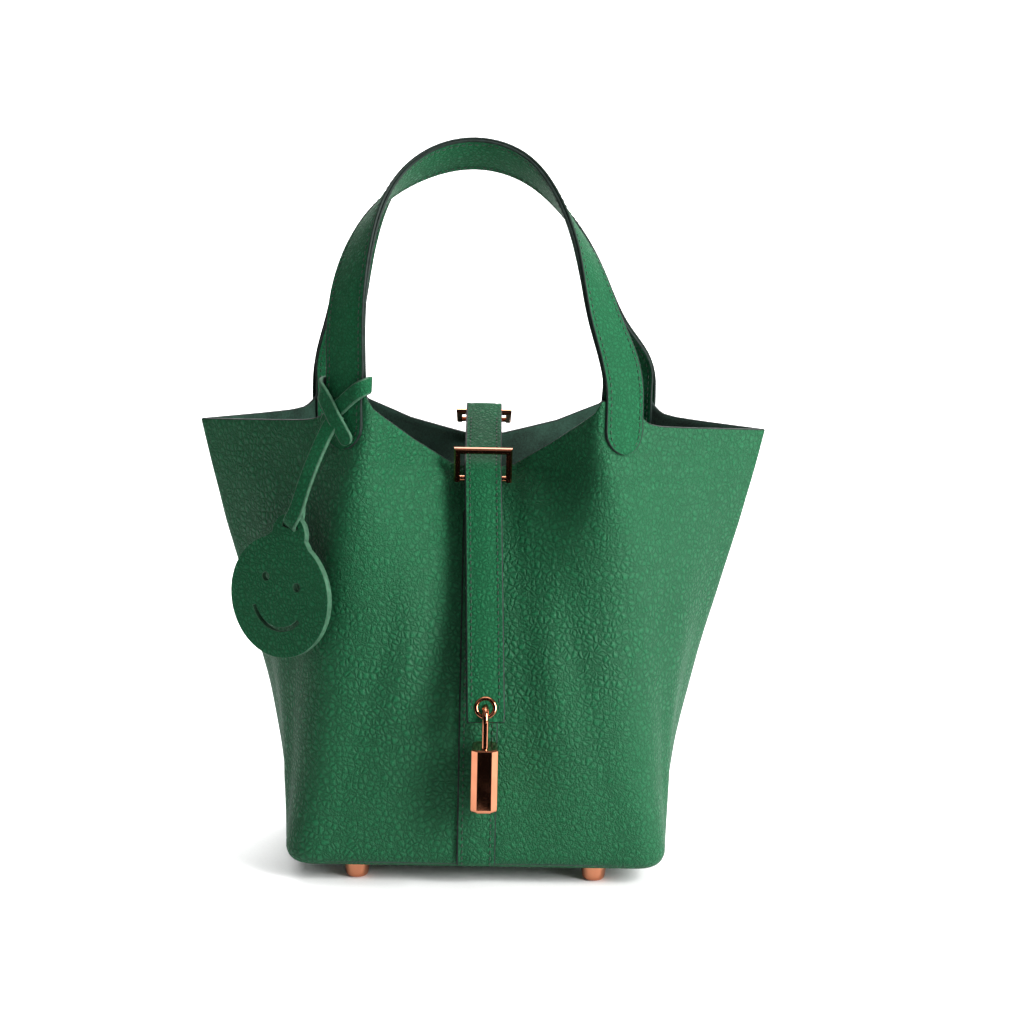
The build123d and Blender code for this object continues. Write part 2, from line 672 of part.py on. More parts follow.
def charm_thong():
    """Hanging thong, its end passed through the charm's slot and folded up behind."""
    hanging = Solid.make_loft(thong_sections(), ruled=True)
    plane = charm_plane() * Rot(Z=-CHARM_TILT)
    front, back = CHARM_THICKNESS / 2 + 0.5, -CHARM_THICKNESS / 2 - 0.5
    half = THONG_WIDTH / 2
    slot_y = CHARM_SLOT_AT
    through = Pos(0, slot_y, 0) * Box(2 * half, 1.5, front - back + 2 * THONG)
    lap = Pos(0, slot_y + 2.5, front + THONG / 2) * Box(2 * half, 6.5, THONG)
    tail = Pos(0, slot_y + 3.5, back - THONG / 2) * Box(2 * half, 8.5, THONG)
    return hanging + plane * (through + lap + tail)


def main():
    os.makedirs("parts", exist_ok=True)
    wall = body_wall()
    save("body_left", body_half(wall, -1))
    save("body_right", body_half(wall, 1))
    save("front_strip", seam_strip(True))
    save("back_strip", seam_strip(False))
    save("base_panel", base_layer(0, FOOT_HEIGHT, BASE_PANEL_TOP))
    save("base_board", base_layer(LEATHER + SEAM_GAP, BASE_PANEL_TOP, BOARD_TOP))
    save("base_lining", base_layer(LEATHER + SEAM_GAP, BOARD_TOP, LINING_TOP))
    save("feet", feet())
    save("foot_washers", foot_washers())
    for name, front in (("front", True), ("back", False)):
        save(f"{name}_handle_ends_outer", handle_ends(front, -HANDLE_LAYER, 0))
        save(f"{name}_handle_ends_inner", handle_ends(front, LEATHER, LEATHER + HANDLE_LAYER))
        save(f"{name}_handle_outer", arch_layer(front, 0, HANDLE_LAYER))
        save(f"{name}_handle_inner", arch_layer(front, -HANDLE_LAYER, 0))
    save("front_ring_tab", front_ring_tab())
    save("back_ring_tab", back_ring_tab())
    save("front_ring", ring_frame(FRONT_PIN, front_ring_bar()))
    save("rear_ring", ring_frame(REAR_PIN, REAR_BAR))
    save("strap_bridge", strap_bridge())
    save("strap_tail", tail_layer(-STRAP / 2, -STRAP / 2 + STRAP_OUTER))
    save("strap_tail_lining", tail_layer(STRAP / 2 - STRAP_LINING, STRAP / 2))
    save("eyelet_front", eyelet_front())
    save("eyelet_back", eyelet_back())
    save("padlock_shackle", padlock_shackle())
    save("padlock_case", padlock_case())
    save("padlock_cap", padlock_cap())
    save("key_plug", key_plug())
    save("lock_cam", lock_cam())
    save("charm_thong_wrap", thong_wrap())
    save("charm_thong", charm_thong())
    save("charm", charm())


main()
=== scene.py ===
import math

import bpy
import numpy as np
from mathutils import Matrix, Vector, noise


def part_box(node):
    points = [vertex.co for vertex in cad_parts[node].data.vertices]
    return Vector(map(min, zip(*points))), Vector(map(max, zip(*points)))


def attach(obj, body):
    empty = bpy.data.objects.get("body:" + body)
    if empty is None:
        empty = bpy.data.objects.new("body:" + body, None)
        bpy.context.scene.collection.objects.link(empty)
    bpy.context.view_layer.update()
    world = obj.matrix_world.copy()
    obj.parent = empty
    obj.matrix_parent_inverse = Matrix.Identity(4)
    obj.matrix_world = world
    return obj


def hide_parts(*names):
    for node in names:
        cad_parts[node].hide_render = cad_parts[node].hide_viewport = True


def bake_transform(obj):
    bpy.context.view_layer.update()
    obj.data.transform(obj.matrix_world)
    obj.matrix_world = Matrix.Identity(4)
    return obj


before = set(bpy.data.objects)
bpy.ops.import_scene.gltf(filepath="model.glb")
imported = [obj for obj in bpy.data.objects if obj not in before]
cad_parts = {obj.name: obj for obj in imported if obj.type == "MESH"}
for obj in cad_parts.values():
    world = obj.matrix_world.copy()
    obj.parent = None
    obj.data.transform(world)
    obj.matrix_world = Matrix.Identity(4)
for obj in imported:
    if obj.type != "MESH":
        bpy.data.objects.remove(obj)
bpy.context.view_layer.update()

bl_info = {
    "name": "Leather Bucket Bag",
    "version": (1, 0, 0),
    "blender": (4, 5, 0),
    "location": "3D View > Sidebar > Bucket Bag",
    "description": "Builds a pebbled leather bucket bag piece by piece around its packed frame",
    "category": "Object",
}

# All lengths below are millimetres in the bag's own frame: +X to the right seen from the front,
# -Y to the front, +Z up, with the middle of the base at X = Y = 0. add_mesh moves the finished
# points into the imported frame.
MM = 0.001
FEET_LOW, FEET_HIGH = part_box("feet")
FRAME_SHIFT = Vector((0, (FEET_LOW.y + FEET_HIGH.y) / 2, 0))

# ---- shell ----------------------------------------------------------------------------------
FOOT_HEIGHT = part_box("base_panel")[0].z / MM
RIM_HEIGHT = 192.0
BASE_HALF_WIDTH = 82.5
BASE_HALF_DEPTH = 62.0
TIP_X = 126.5
FRONT_FOLD = (47.9, 56.1)
BACK_FOLD = (60.9, 49.2)
FRONT_PINCH, FRONT_PINCH_POWER, FRONT_RIM = 52.0, 2.6, 176.0
BACK_PINCH, BACK_PINCH_POWER = 24.0, 1.5
CENTRE_FLAT = 13.0
BASE_ROUND = 7.5
SHELL_TOP = 212.0
LEVEL_STEP = 0.5
# how far the soft rounding of each corner runs along its panels, against height
FOLD_RUN = ((7, 15), (60, 19), (110, 23), (150, 15), (178, 8), (196, 4), (212, 3))
TIP_RUN = ((7, 30), (50, 24), (100, 13), (150, 5), (185, 2.2), (212, 2))
CENTRE_RUN = 4.2
# how far the panels bow outwards (or inwards) between their corners, against height
FRONT_BOW = ((7, 0), (40, 1.6), (90, 2.2), (140, 0), (175, -1.8), (212, -1.5))
SIDE_BOW = ((7, 0), (40, 2.0), (100, 2.4), (150, 1.2), (175, 0), (212, 0))
BACK_BOW = ((7, 0), (40, 1.6), (100, 2.4), (160, 0.6), (212, 0))
FRONT_CROWN = ((0, 173.6), (14, 177), (30, 188), (42, 198), (46, 201.5), (49, 206.5), (62, 207),
               (65, 202.5), (67.5, 198.6), (70.5, 196.3), (76, 195), (90, 194), (126.5, 192))
BACK_CROWN = ((0, 183.4), (34, 191.7), (54, 199.5), (59, 203.5), (62, 206.5), (75, 207),
              (77.8, 202.5), (80.3, 198.6), (83.3, 196.3), (89, 195), (100, 194), (126.5, 192))

# ---- straps and handles ---------------------------------------------------------------------
STRIP_WIDTH, STRIP_THICKNESS = 16.5, 1.8
STRIP_TOP, BACK_STRIP_TOP = 157.0, 166.0
HANDLE_LAYER = 1.3
LEG_INSET = 13.0
END_HEIGHT = 184.0
HINGE_HEIGHT = 222.5
PART_HEIGHTS = (205.0, 219.0)    # the two layers of a handle close up between these heights
ARCH_TILT = 33.0
LEFT_TWIST, RIGHT_TWIST = 1.8, 1.1    # a higher power keeps a leg flat against its wall for longer
FRONT_ARCH = ((-58.3, -45.5, 237), (-55.3, -37.5, 263), (-45.5, -26.5, 287.5), (-28, -19, 303.5),
              (-6, -16.5, 309.5), (14, -19.5, 304.5), (31.5, -28, 287), (43, -37.5, 264), (50.4, -45, 239))
BACK_ARCH = ((-65.5, 33.5, 236), (-60, 25, 260), (-50, 14.5, 285), (-33, 7, 303),
             (-6, 4.5, 311), (17, 7.5, 304), (35, 15, 287), (47.5, 25, 262), (58, 33.5, 237))
STRAP_BEND = (-32.5, 176.0)
STRAP_OUTER, STRAP_LINING = 1.6, 1.4
BEND_RADIUS = 10.0
TAIL_LENGTH = 109.8
TAIL_ANGLE = math.radians(22.4)
TAIL_LEAN = math.radians(1.6)
EYELET_FROM_END = 5.8
FRONT_PIN = (-27.6, 170.8)
REAR_PIN = (26.2, 192.6)
REAR_BAR = (13.6, 196.8)
REAR_LOOP_RADIUS = 3.3
TAB_WIDTH = 15.0
PIN_WRAP = 2.1

# ---- charm ----------------------------------------------------------------------------------
CHARM_CENTRE = Vector((-84.6, -48.2, 121.3))
CHARM_TURN = math.radians(33.0)
CHARM_TILT = math.radians(11.0)
CHARM_RADIUS = 26.0
CHARM_THICKNESS = 3.0
CHARM_TAB_HALF, CHARM_TAB_TOP = 8.5, 36.0
CHARM_SLOT_AT, CHARM_SLOT = 31.0, (9.0, 2.6)
EYE_PLACE, EYE_RADIUS = (8.5, 6.5), 2.2
SMILE_RADII, SMILE_REACH = (13.0, 15.4), 60.0
THONG_THICKNESS = 1.6
# the knot, as (along the leg's width, height, distance out from the middle of the wall)
KNOT_PATH = ((4.6, 186.6, 3.6), (2.6, 190.6, 4.4), (-1.4, 197.2, 5.6), (-6.0, 203.4, 5.0),
             (-9.8, 208.0, 4.0),
             (-11.9, 210.3, 1.2), (-11.6, 210.8, -2.0), (-8.5, 210.6, -3.4), (0, 210.0, -3.6),
             (8.5, 210.6, -3.4),
             (11.8, 211.6, -1.6), (12.4, 211.2, 1.4), (9.6, 209.2, 3.6), (4.4, 205.6, 3.7),
             (-0.8, 201.6, 3.6),
             (-5.6, 197.6, 3.3), (-9.0, 193.6, 3.1))
HANG_PATH = ((-60.6, -50.8, 199.2), (-64.4, -50.0, 193.6), (-67.8, -50.9, 186.6), (-71.6, -53.5, 177.0),
             (-75.4, -56.3, 165.4), (-78.6, -56.0, 156.4), (-80.3, -52.9, 151.9), (-78.8, -50.2, 151.6),
             (-77.6, -49.2, 155.0), (-77.2, -48.9, 160.0))


# ---- small tools ------------------------------------------------------------------------------

def heights(table, z):
    """Value of a table of (height, value) pairs at a height, eased between its rows."""
    rows = np.array(table, float)
    return np.interp(z, rows[:, 0], rows[:, 1])


def smooth_step(low, high, value):
    t = np.clip((np.asarray(value, float) - low) / (high - low), 0, 1)
    return t * t * (3 - 2 * t)


def unit(vectors):
    v = np.asarray(vectors, float)
    return v / np.maximum(np.linalg.norm(v, axis=-1, keepdims=True), 1e-9)


def smooth_path(points, step):
    """Evenly spaced points along the natural cubic curve through the given points."""
    p = np.array(points, float)
    t = np.concatenate([[0], np.cumsum(np.linalg.norm(np.diff(p, axis=0), axis=1))])
    h = np.diff(t)
    n = len(p)
    system, right = np.eye(n), np.zeros_like(p)
    for i in range(1, n - 1):
        system[i, i - 1:i + 2] = h[i - 1], 2 * (h[i - 1] + h[i]), h[i]
        right[i] = 6 * ((p[i + 1] - p[i]) / h[i] - (p[i] - p[i - 1]) / h[i - 1])
    m = np.linalg.solve(system, right)
    s = np.linspace(0, t[-1], max(int(t[-1] / step), 8) + 1)
    i = np.clip(np.searchsorted(t, s, side="right") - 1, 0, n - 2)
    u, v, k = (s - t[i])[:, None], (t[i + 1] - s)[:, None], h[i][:, None]
    return (m[i] * v ** 3 + m[i + 1] * u ** 3) / (6 * k) + (p[i] / k - m[i] * k / 6) * v + (
        p[i + 1] / k - m[i + 1] * k / 6) * u


def tangents(points):
    return unit(np.gradient(np.asarray(points, float), axis=0))


def grid_faces(rows, cols, closed, start=0, flip=False):
    """Quads of a grid of points stored row by row; closed joins the last column to the first."""
    faces = []
    for i in range(rows - 1):
        for j in range(cols if closed else cols - 1):
            a = start + i * cols + j
            b = start + i * cols + (j + 1) % cols
            quad = (a, b, b + cols, a + cols)
            faces.append(quad[::-1] if flip else quad)
    return faces


def add_mesh(name, points, faces, materials, slots=None, sharp=None):
    """Object from points in millimetres; slots gives each face's material."""
    mesh = bpy.data.meshes.new(name)
    placed = np.asarray(points, float) * MM + np.array(FRAME_SHIFT)
    mesh.from_pydata(placed.tolist(), [], faces)
    for material in materials:
        mesh.materials.append(material)
    if slots is not None:
        mesh.polygons.foreach_set("material_index", slots)
    mesh.polygons.foreach_set("use_smooth", [True] * len(mesh.polygons))
    if sharp:
        mesh.set_sharp_from_angle(angle=math.radians(sharp))
    mesh.update()
    obj = bpy.data.objects.new(name, mesh)
    bpy.context.scene.collection.objects.link(obj)
    return obj


# ---- materials --------------------------------------------------------------------------------

def add_node(tree, kind, **settings):
    """Node with its attributes set, and its inputs given as name=value in 'inputs'."""
    inputs = settings.pop("inputs", {})
    made = tree.nodes.new(kind)
    for key, value in settings.items():
        setattr(made, key, value)
    for key, value in inputs.items():
        if isinstance(value, bpy.types.NodeSocket):
            tree.links.new(value, made.inputs[key])
        else:
            made.inputs[key].default_value = value
    return made


def new_material(name, **constants):
    """Material with a Principled shader whose constant sockets are set directly."""
    material = bpy.data.materials.new(name)
    material.use_nodes = True
    shader = material.node_tree.nodes["Principled BSDF"]
    for key, value in constants.items():
        shader.inputs[key.replace("_", " ")].default_value = value
    return material, material.node_tree, shader


def ramp(tree, source, stops):
    """Colour ramp over a value; each stop is (place, grey level or colour)."""
    made = add_node(tree, "ShaderNodeValToRGB", inputs={"Fac": source})
    elements = made.color_ramp.elements
    while len(elements) < len(stops):
        elements.new(0.5)
    for element, (place, colour) in zip(elements, stops):
        element.position = place
        element.color = (*colour, 1) if hasattr(colour, "__len__") else (colour, colour, colour, 1)
    return made.outputs["Color"]


def math_node(tree, operation, first, second):
    return add_node(tree, "ShaderNodeMath", operation=operation, inputs={0: first, 1: second}).outputs[0]


def mix_colours(tree, factor, first, second, blend="MIX"):
    made = add_node(tree, "ShaderNodeMix", data_type="RGBA", blend_type=blend, clamp_factor=True)
    for socket, value in ((made.inputs[0], factor), (made.inputs[6], first), (made.inputs[7], second)):
        if isinstance(value, bpy.types.NodeSocket):
            tree.links.new(value, socket)
        else:
            socket.default_value = value
    return made.outputs[2]


def shade(colour, factor):
    return tuple(min(c * factor, 1) for c in colour)


def with_alpha(colour):
    return (*colour, 1)


def warped_place(tree, scale, amount):
    """Object coordinates pushed about a little, so that cells lose their regular look."""
    place = add_node(tree, "ShaderNodeTexCoord").outputs["Object"]
    push = add_node(tree, "ShaderNodeTexNoise", inputs={"Vector": place, "Scale": scale, "Detail": 2.0})
    centred = add_node(tree, "ShaderNodeVectorMath", operation="SUBTRACT",
                       inputs={0: push.outputs["Color"], 1: (0.5, 0.5, 0.5)})
    scaled = add_node(tree, "ShaderNodeVectorMath", operation="SCALE",
                      inputs={0: centred.outputs[0], "Scale": amount})
    return add_node(tree, "ShaderNodeVectorMath", operation="ADD",
                    inputs={0: place, 1: scaled.outputs[0]}).outputs[0]


def pebbled_leather(name, colour, grain, depth, softness, shine):
    """Grained leather: plump uneven pebbles, faint tone changes, painted shade in creases, painted
    highlight on tops.
    """
    material, tree, shader = new_material(name, Specular_IOR_Level=shine)
    place = warped_place(tree, 0.35 / grain, grain * 1.3)
    coarse = add_node(tree, "ShaderNodeTexVoronoi", feature="DISTANCE_TO_EDGE",
                      inputs={"Vector": place, "Scale": 1 / grain, "Randomness": 1.0}).outputs["Distance"]
    fine = add_node(tree, "ShaderNodeTexVoronoi", feature="DISTANCE_TO_EDGE",
                    inputs={"Vector": place, "Scale": 2.3 / grain, "Randomness": 1.0}).outputs["Distance"]
    pores = add_node(tree, "ShaderNodeTexNoise",
                     inputs={"Vector": place, "Scale": 6 / grain, "Detail": 3.0}).outputs["Fac"]
    swell = ramp(tree, coarse, ((0, 0.0), (0.14, 0.3), (0.38, 0.8), (0.75, 1.0)))
    small = ramp(tree, fine, ((0, 0.0), (0.2, 0.7), (0.5, 1.0)))
    patches = add_node(tree, "ShaderNodeTexNoise",
                       inputs={"Vector": place, "Scale": 14.0, "Detail": 2.0}).outputs["Fac"]
    cells = mix_colours(tree, ramp(tree, patches, ((0.35, 0.12), (0.65, 0.4))), swell, small)
    height = math_node(tree, "ADD", cells, math_node(tree, "MULTIPLY", pores, 0.12))
    # painted shade and painted highlight: the colour drops to half in the creases and rises to 1.1 times on
    # the pebble tops, following the grain's height
    painted_crease_shade_and_highlight = mix_colours(tree, cells, with_alpha(shade(colour, 0.5)), with_alpha(shade(colour, 1.1)))
    drift = ramp(tree, patches, ((0.3, (0.9, 0.88, 0.9)), (0.7, (1.0, 1.0, 1.0))))
    tree.links.new(mix_colours(tree, 1.0, painted_crease_shade_and_highlight, drift, "MULTIPLY"), shader.inputs["Base Color"])
    tree.links.new(ramp(tree, height, ((0, softness + 0.2), (1, softness - 0.02))),
                   shader.inputs["Roughness"])
    bump = add_node(tree, "ShaderNodeBump", inputs={"Height": height, "Strength": 1.0, "Distance": depth})
    tree.links.new(bump.outputs["Normal"], shader.inputs["Normal"])
    return material


def napped_suede(name, colour):
    """Brushed inner side of the leather, with a cloudy nap."""
    material, tree, shader = new_material(name, Specular_IOR_Level=0.1, Sheen_Weight=0.12,
                                          Sheen_Roughness=0.6)
    place = warped_place(tree, 60.0, 0.004)
    clouds = add_node(tree, "ShaderNodeTexNoise",
                      inputs={"Vector": place, "Scale": 90.0, "Detail": 5.0}).outputs["Fac"]
    nap = add_node(tree, "ShaderNodeTexNoise",
                   inputs={"Vector": place, "Scale": 1400.0, "Detail": 3.0}).outputs["Fac"]
    both = math_node(tree, "ADD", math_node(tree, "MULTIPLY", clouds, 0.55),
                     math_node(tree, "MULTIPLY", nap, 0.45))
    tree.links.new(ramp(tree, both, ((0.35, shade(colour, 0.5)), (0.65, shade(colour, 1.7)))),
                   shader.inputs["Base Color"])
    tree.links.new(ramp(tree, nap, ((0, 0.85), (1, 1.0))), shader.inputs["Roughness"])
    bump = add_node(tree, "ShaderNodeBump", inputs={"Height": both, "Strength": 0.5, "Distance": 0.0003})
    tree.links.new(bump.outputs["Normal"], shader.inputs["Normal"])
    return material


def painted_edge(name, colour, gloss):
    """Cut leather edge sealed with several thin coats of edge paint."""
    material, tree, shader = new_material(name, Specular_IOR_Level=0.2)
    place = add_node(tree, "ShaderNodeTexCoord").outputs["Object"]
    coats = add_node(tree, "ShaderNodeTexNoise",
                     inputs={"Vector": place, "Scale": 420.0, "Detail": 4.0}).outputs["Fac"]
    tree.links.new(ramp(tree, coats, ((0.3, shade(colour, 0.7)), (0.7, shade(colour, 1.4)))),
                   shader.inputs["Base Color"])
    tree.links.new(ramp(tree, coats, ((0, gloss + 0.12), (1, gloss - 0.08))), shader.inputs["Roughness"])
    bump = add_node(tree, "ShaderNodeBump", inputs={"Height": coats, "Strength": 0.35, "Distance": 0.00025})
    tree.links.new(bump.outputs["Normal"], shader.inputs["Normal"])
    return material


def polished_metal(name, colour):
    """Warm plated metal with faint polishing marks and slightly duller, handled patches."""
    material, tree, shader = new_material(name, Metallic=1.0)
    place = add_node(tree, "ShaderNodeTexCoord").outputs["Object"]
    marks = add_node(tree, "ShaderNodeTexNoise",
                     inputs={"Vector": place, "Scale": 2600.0, "Detail": 3.0}).outputs["Fac"]
    handled = add_node(tree, "ShaderNodeTexNoise",
                       inputs={"Vector": place, "Scale": 160.0, "Detail": 3.0}).outputs["Fac"]
    tree.links.new(ramp(tree, handled, ((0.3, shade(colour, 0.86)), (0.7, colour))),
                   shader.inputs["Base Color"])
    tree.links.new(ramp(tree, handled, ((0.3, 0.16), (0.7, 0.07))), shader.inputs["Roughness"])
    bump = add_node(tree, "ShaderNodeBump", inputs={"Height": marks, "Strength": 0.12, "Distance": 0.00002})
    tree.links.new(bump.outputs["Normal"], shader.inputs["Normal"])
    return material


def waxed_thread(name, colour):
    material, tree, shader = new_material(name, Specular_IOR_Level=0.4, Sheen_Weight=0.1)
    place = add_node(tree, "ShaderNodeTexCoord").outputs["Object"]
    twist = add_node(tree, "ShaderNodeTexWave", bands_direction="DIAGONAL",
                     inputs={"Vector": place, "Scale": 900.0, "Distortion": 1.5}).outputs["Fac"]
    tree.links.new(ramp(tree, twist, ((0, shade(colour, 0.55)), (1, shade(colour, 1.25)))),
                   shader.inputs["Base Color"])
    tree.links.new(ramp(tree, twist, ((0, 0.7), (1, 0.5))), shader.inputs["Roughness"])
    bump = add_node(tree, "ShaderNodeBump", inputs={"Height": twist, "Strength": 0.6, "Distance": 0.00008})
    tree.links.new(bump.outputs["Normal"], shader.inputs["Normal"])
    return material


def studio_paper(name):
    material, tree, shader = new_material(name, Specular_IOR_Level=0.25)
    place = add_node(tree, "ShaderNodeTexCoord").outputs["Object"]
    tooth = add_node(tree, "ShaderNodeTexNoise",
                     inputs={"Vector": place, "Scale": 900.0, "Detail": 2.0}).outputs["Fac"]
    tree.links.new(ramp(tree, tooth, ((0.3, 0.86), (0.7, 0.9))), shader.inputs["Base Color"])
    tree.links.new(ramp(tree, tooth, ((0.3, 0.5), (0.7, 0.6))), shader.inputs["Roughness"])
    return material


def finishes():
    """The bag's materials, made once from the colours in the panel."""
    s = bpy.context.scene.bucket_bag
    makers = {
        "pebbled_leather": lambda n: pebbled_leather(n, s.leather_colour, s.grain_size, 0.0006, 0.5, 0.2),
        "smooth_leather": lambda n: pebbled_leather(n, s.leather_colour, s.grain_size * 0.8, 0.0004, 0.54,
                                                    0.12),
        "suede": lambda n: napped_suede(n, s.suede_colour),
        "edge_paint": lambda n: painted_edge(n, s.edge_colour, 0.55),
        "raw_edge": lambda n: painted_edge(n, s.raw_edge_colour, 0.62),
        "rose_metal": lambda n: polished_metal(n, s.metal_colour),
        "thread": lambda n: waxed_thread(n, s.thread_colour),
    }
    return {key: bpy.data.materials.get(key) or make(key) for key, make in makers.items()}


# ---- shell shape ------------------------------------------------------------------------------

def fraction(z):
    """0 at the base and 1 at the rim; the ears above the rim stand straight up."""
    return min(max((z - FOOT_HEIGHT) / (RIM_HEIGHT - FOOT_HEIGHT), 0), 1)


def mix(a, b, t):
    return a + (b - a) * t


def fold_place(z, front):
    top = FRONT_FOLD if front else BACK_FOLD
    t = fraction(z)
    return mix(BASE_HALF_WIDTH, top[0], t), mix(BASE_HALF_DEPTH, top[1], t)


def centre_depth(z, front):
    t = fraction(min(z, FRONT_RIM) if front else z)
    if front:
        return BASE_HALF_DEPTH - FRONT_PINCH * t ** FRONT_PINCH_POWER
    return BASE_HALF_DEPTH - BACK_PINCH * t ** BACK_PINCH_POWER


def base_inset(z):
    """How far the rounded bottom edge draws the outline in."""
    drop = max(BASE_ROUND - (z - FOOT_HEIGHT), 0)
    return BASE_ROUND - math.sqrt(max(BASE_ROUND ** 2 - drop ** 2, 0))


def bezier(a, b, c, t):
    t = np.asarray(t)[:, None]
    return a * (1 - t) ** 2 + b * 2 * t * (1 - t) + c * t ** 2


CORNER_POINTS = 9
PANEL_POINTS = (6, 22, 30, 30, 22)    # the flat at the middle, then front, two sides and back


def outline(z, extra=0.0):
    """Closed outline of the shell's outer face at a height, counter-clockwise seen from above."""
    fx, fy = fold_place(z, True)
    bx, by = fold_place(z, False)
    tip = mix(BASE_HALF_WIDTH, TIP_X, fraction(z))
    fold_run, tip_run = heights(FOLD_RUN, z), heights(TIP_RUN, z)
    right = [(CENTRE_FLAT, -centre_depth(z, True), CENTRE_RUN), (fx, -fy, fold_run), (tip, 0, tip_run),
             (bx, by, fold_run), (CENTRE_FLAT, centre_depth(z, False), CENTRE_RUN)]
    corners = right + [(-x, y, r) for x, y, r in reversed(right)]
    bows = [heights(FRONT_BOW, z), heights(SIDE_BOW, z), heights(SIDE_BOW, z), heights(BACK_BOW, z), 0]
    bows += bows[-2::-1] + [0]
    counts = [*PANEL_POINTS[1:], PANEL_POINTS[0]]
    counts += counts[-2::-1] + [PANEL_POINTS[0]]
    places = np.array([c[:2] for c in corners], float)
    sides = np.roll(places, -1, 0) - places
    along = unit(sides)
    normals = np.stack([along[:, 1], -along[:, 0]], 1)
    inset = base_inset(z) + extra
    moved = []
    for i in range(len(corners)):
        n1, n2 = normals[i - 1], normals[i]
        moved.append(places[i] - (n1 + n2) * (inset / (1 + n1 @ n2)))
    moved = np.array(moved)
    points = []
    for i, (_, _, run) in enumerate(corners):
        corner, before, after = moved[i], along[i - 1], along[i]
        run = max(run - inset, 1.0)
        start, end = corner - before * run, corner + after * run
        points.extend(bezier(start, corner, end, np.linspace(0, 1, CORNER_POINTS)))
        following = (i + 1) % len(corners)
        next_run = max(corners[following][2] - inset, 1.0)
        stop = moved[following] - after * next_run
        t = np.linspace(0, 1, counts[i] + 2)[1:-1]
        rise = np.sin(np.pi * t) ** 2 * bows[i]
        points.extend(end + (stop - end) * t[:, None] + normals[i] * rise[:, None])
    return np.array(points)


def shell_table():
    levels = np.arange(FOOT_HEIGHT, SHELL_TOP + LEVEL_STEP, LEVEL_STEP)
    return levels, np.array([outline(z) for z in levels])


def crown_height(x, y):
    return np.where(y < 0, heights(FRONT_CROWN, np.abs(x)), heights(BACK_CROWN, np.abs(x)))


def shell_grid():
    """Outer face of the shell: rows from the base up, columns round the bag, cut to the crown line."""
    levels, table = shell_table()
    columns = table.shape[1]

    def place(z):
        index = np.clip((z - levels[0]) / LEVEL_STEP, 0, len(levels) - 1.001)
        low = index.astype(int)
        part = (index - low)[:, None]
        all_columns = np.arange(columns)
        return table[low, all_columns] * (1 - part) + table[low + 1, all_columns] * part

    top = np.full(columns, RIM_HEIGHT)
    for _ in range(6):
        at = place(top)
        top = crown_height(at[:, 0], at[:, 1])
    turn = np.linspace(0, math.pi / 2, 9)[:-1]
    bottoms = FOOT_HEIGHT + BASE_ROUND * (1 - np.cos(turn))
    start = FOOT_HEIGHT + BASE_ROUND
    rows = [np.full(columns, z) for z in bottoms]
    rows += [start + (top - start) * s for s in np.linspace(0, 1, 84)]
    grid = np.array([np.column_stack([place(z), z]) for z in rows])
    return grid


def grid_normals(grid):
    around = np.roll(grid, -1, 1) - np.roll(grid, 1, 1)
    upward = np.gradient(grid, axis=0)
    return unit(np.cross(around, upward))


def softened(grid):
    """Slow dents and swells of handled leather, fading out beside everything that is sewn on."""
    normals = grid_normals(grid)
    x, y, z = grid[..., 0], grid[..., 1], grid[..., 2]
    room = smooth_step(12, 34, np.abs(x)) * smooth_step(10, 45, z) * smooth_step(0, 26,
                                                                                 crown_height(x, y) - z)
    legs = [leg_centre(front, side) for front in (True, False) for side in (-1, 1)]
    for centre in legs:
        gap = np.hypot(x - centre[0], y - centre[1])
        room = room * np.maximum(smooth_step(12, 30, gap), smooth_step(184, 150, z))
    swell = np.zeros_like(x)
    for row in range(grid.shape[0]):
        for column in range(grid.shape[1]):
            px, py, pz = grid[row, column]
            slow = noise.noise(Vector((px / 46, py / 46, pz / 62 + 3.7)))
            quick = noise.noise(Vector((px / 19 + 9.1, py / 19, pz / 30)))
            swell[row, column] = 1.5 * slow + 0.45 * quick
    return grid + normals * (swell * room)[..., None]


# ---- handle legs ---------------------------------------------------------------------------------

def side_run(front, side, z=RIM_HEIGHT):
    """Unit vector along the side panel, from the fold to the tip."""
    x, y = fold_place(z, front)
    tip = mix(BASE_HALF_WIDTH, TIP_X, fraction(z))
    run = unit((tip - x, -y))
    return np.array((side * run[0], -run[1] if front else run[1], 0))


def side_normal(front, side, z=RIM_HEIGHT):
    run = side_run(front, side, z)
    return np.array((side * abs(run[1]), -abs(run[0]) if front else abs(run[0]), 0))


def leg_centre(front, side):
    """Middle of the wall where a handle's leg stands, at rim height."""
    x, y = FRONT_FOLD if front else BACK_FOLD
    start = np.array((side * x, -y if front else y, 0))
    return start + side_run(front, side) * LEG_INSET - side_normal(front, side)


def on_wall(front, side, z):
    """The leg's middle line at a height, moved out to the middle of the leaning wall."""
    x, y = fold_place(z, front)
    fold = np.array((side * x, -y if front else y, 0))
    normal = side_normal(front, side, z)
    centre = leg_centre(front, side)
    lift = (fold - centre) @ normal - 1
    return centre + normal * lift + (0, 0, z)


# ---- bands of leather ------------------------------------------------------------------------------

SEAM_INSET = 2.3       # from the edge to the row of stitches
EDGE_BAND = 0.75       # how far edge paint reaches onto the face
SEAM_GROOVE = 0.16


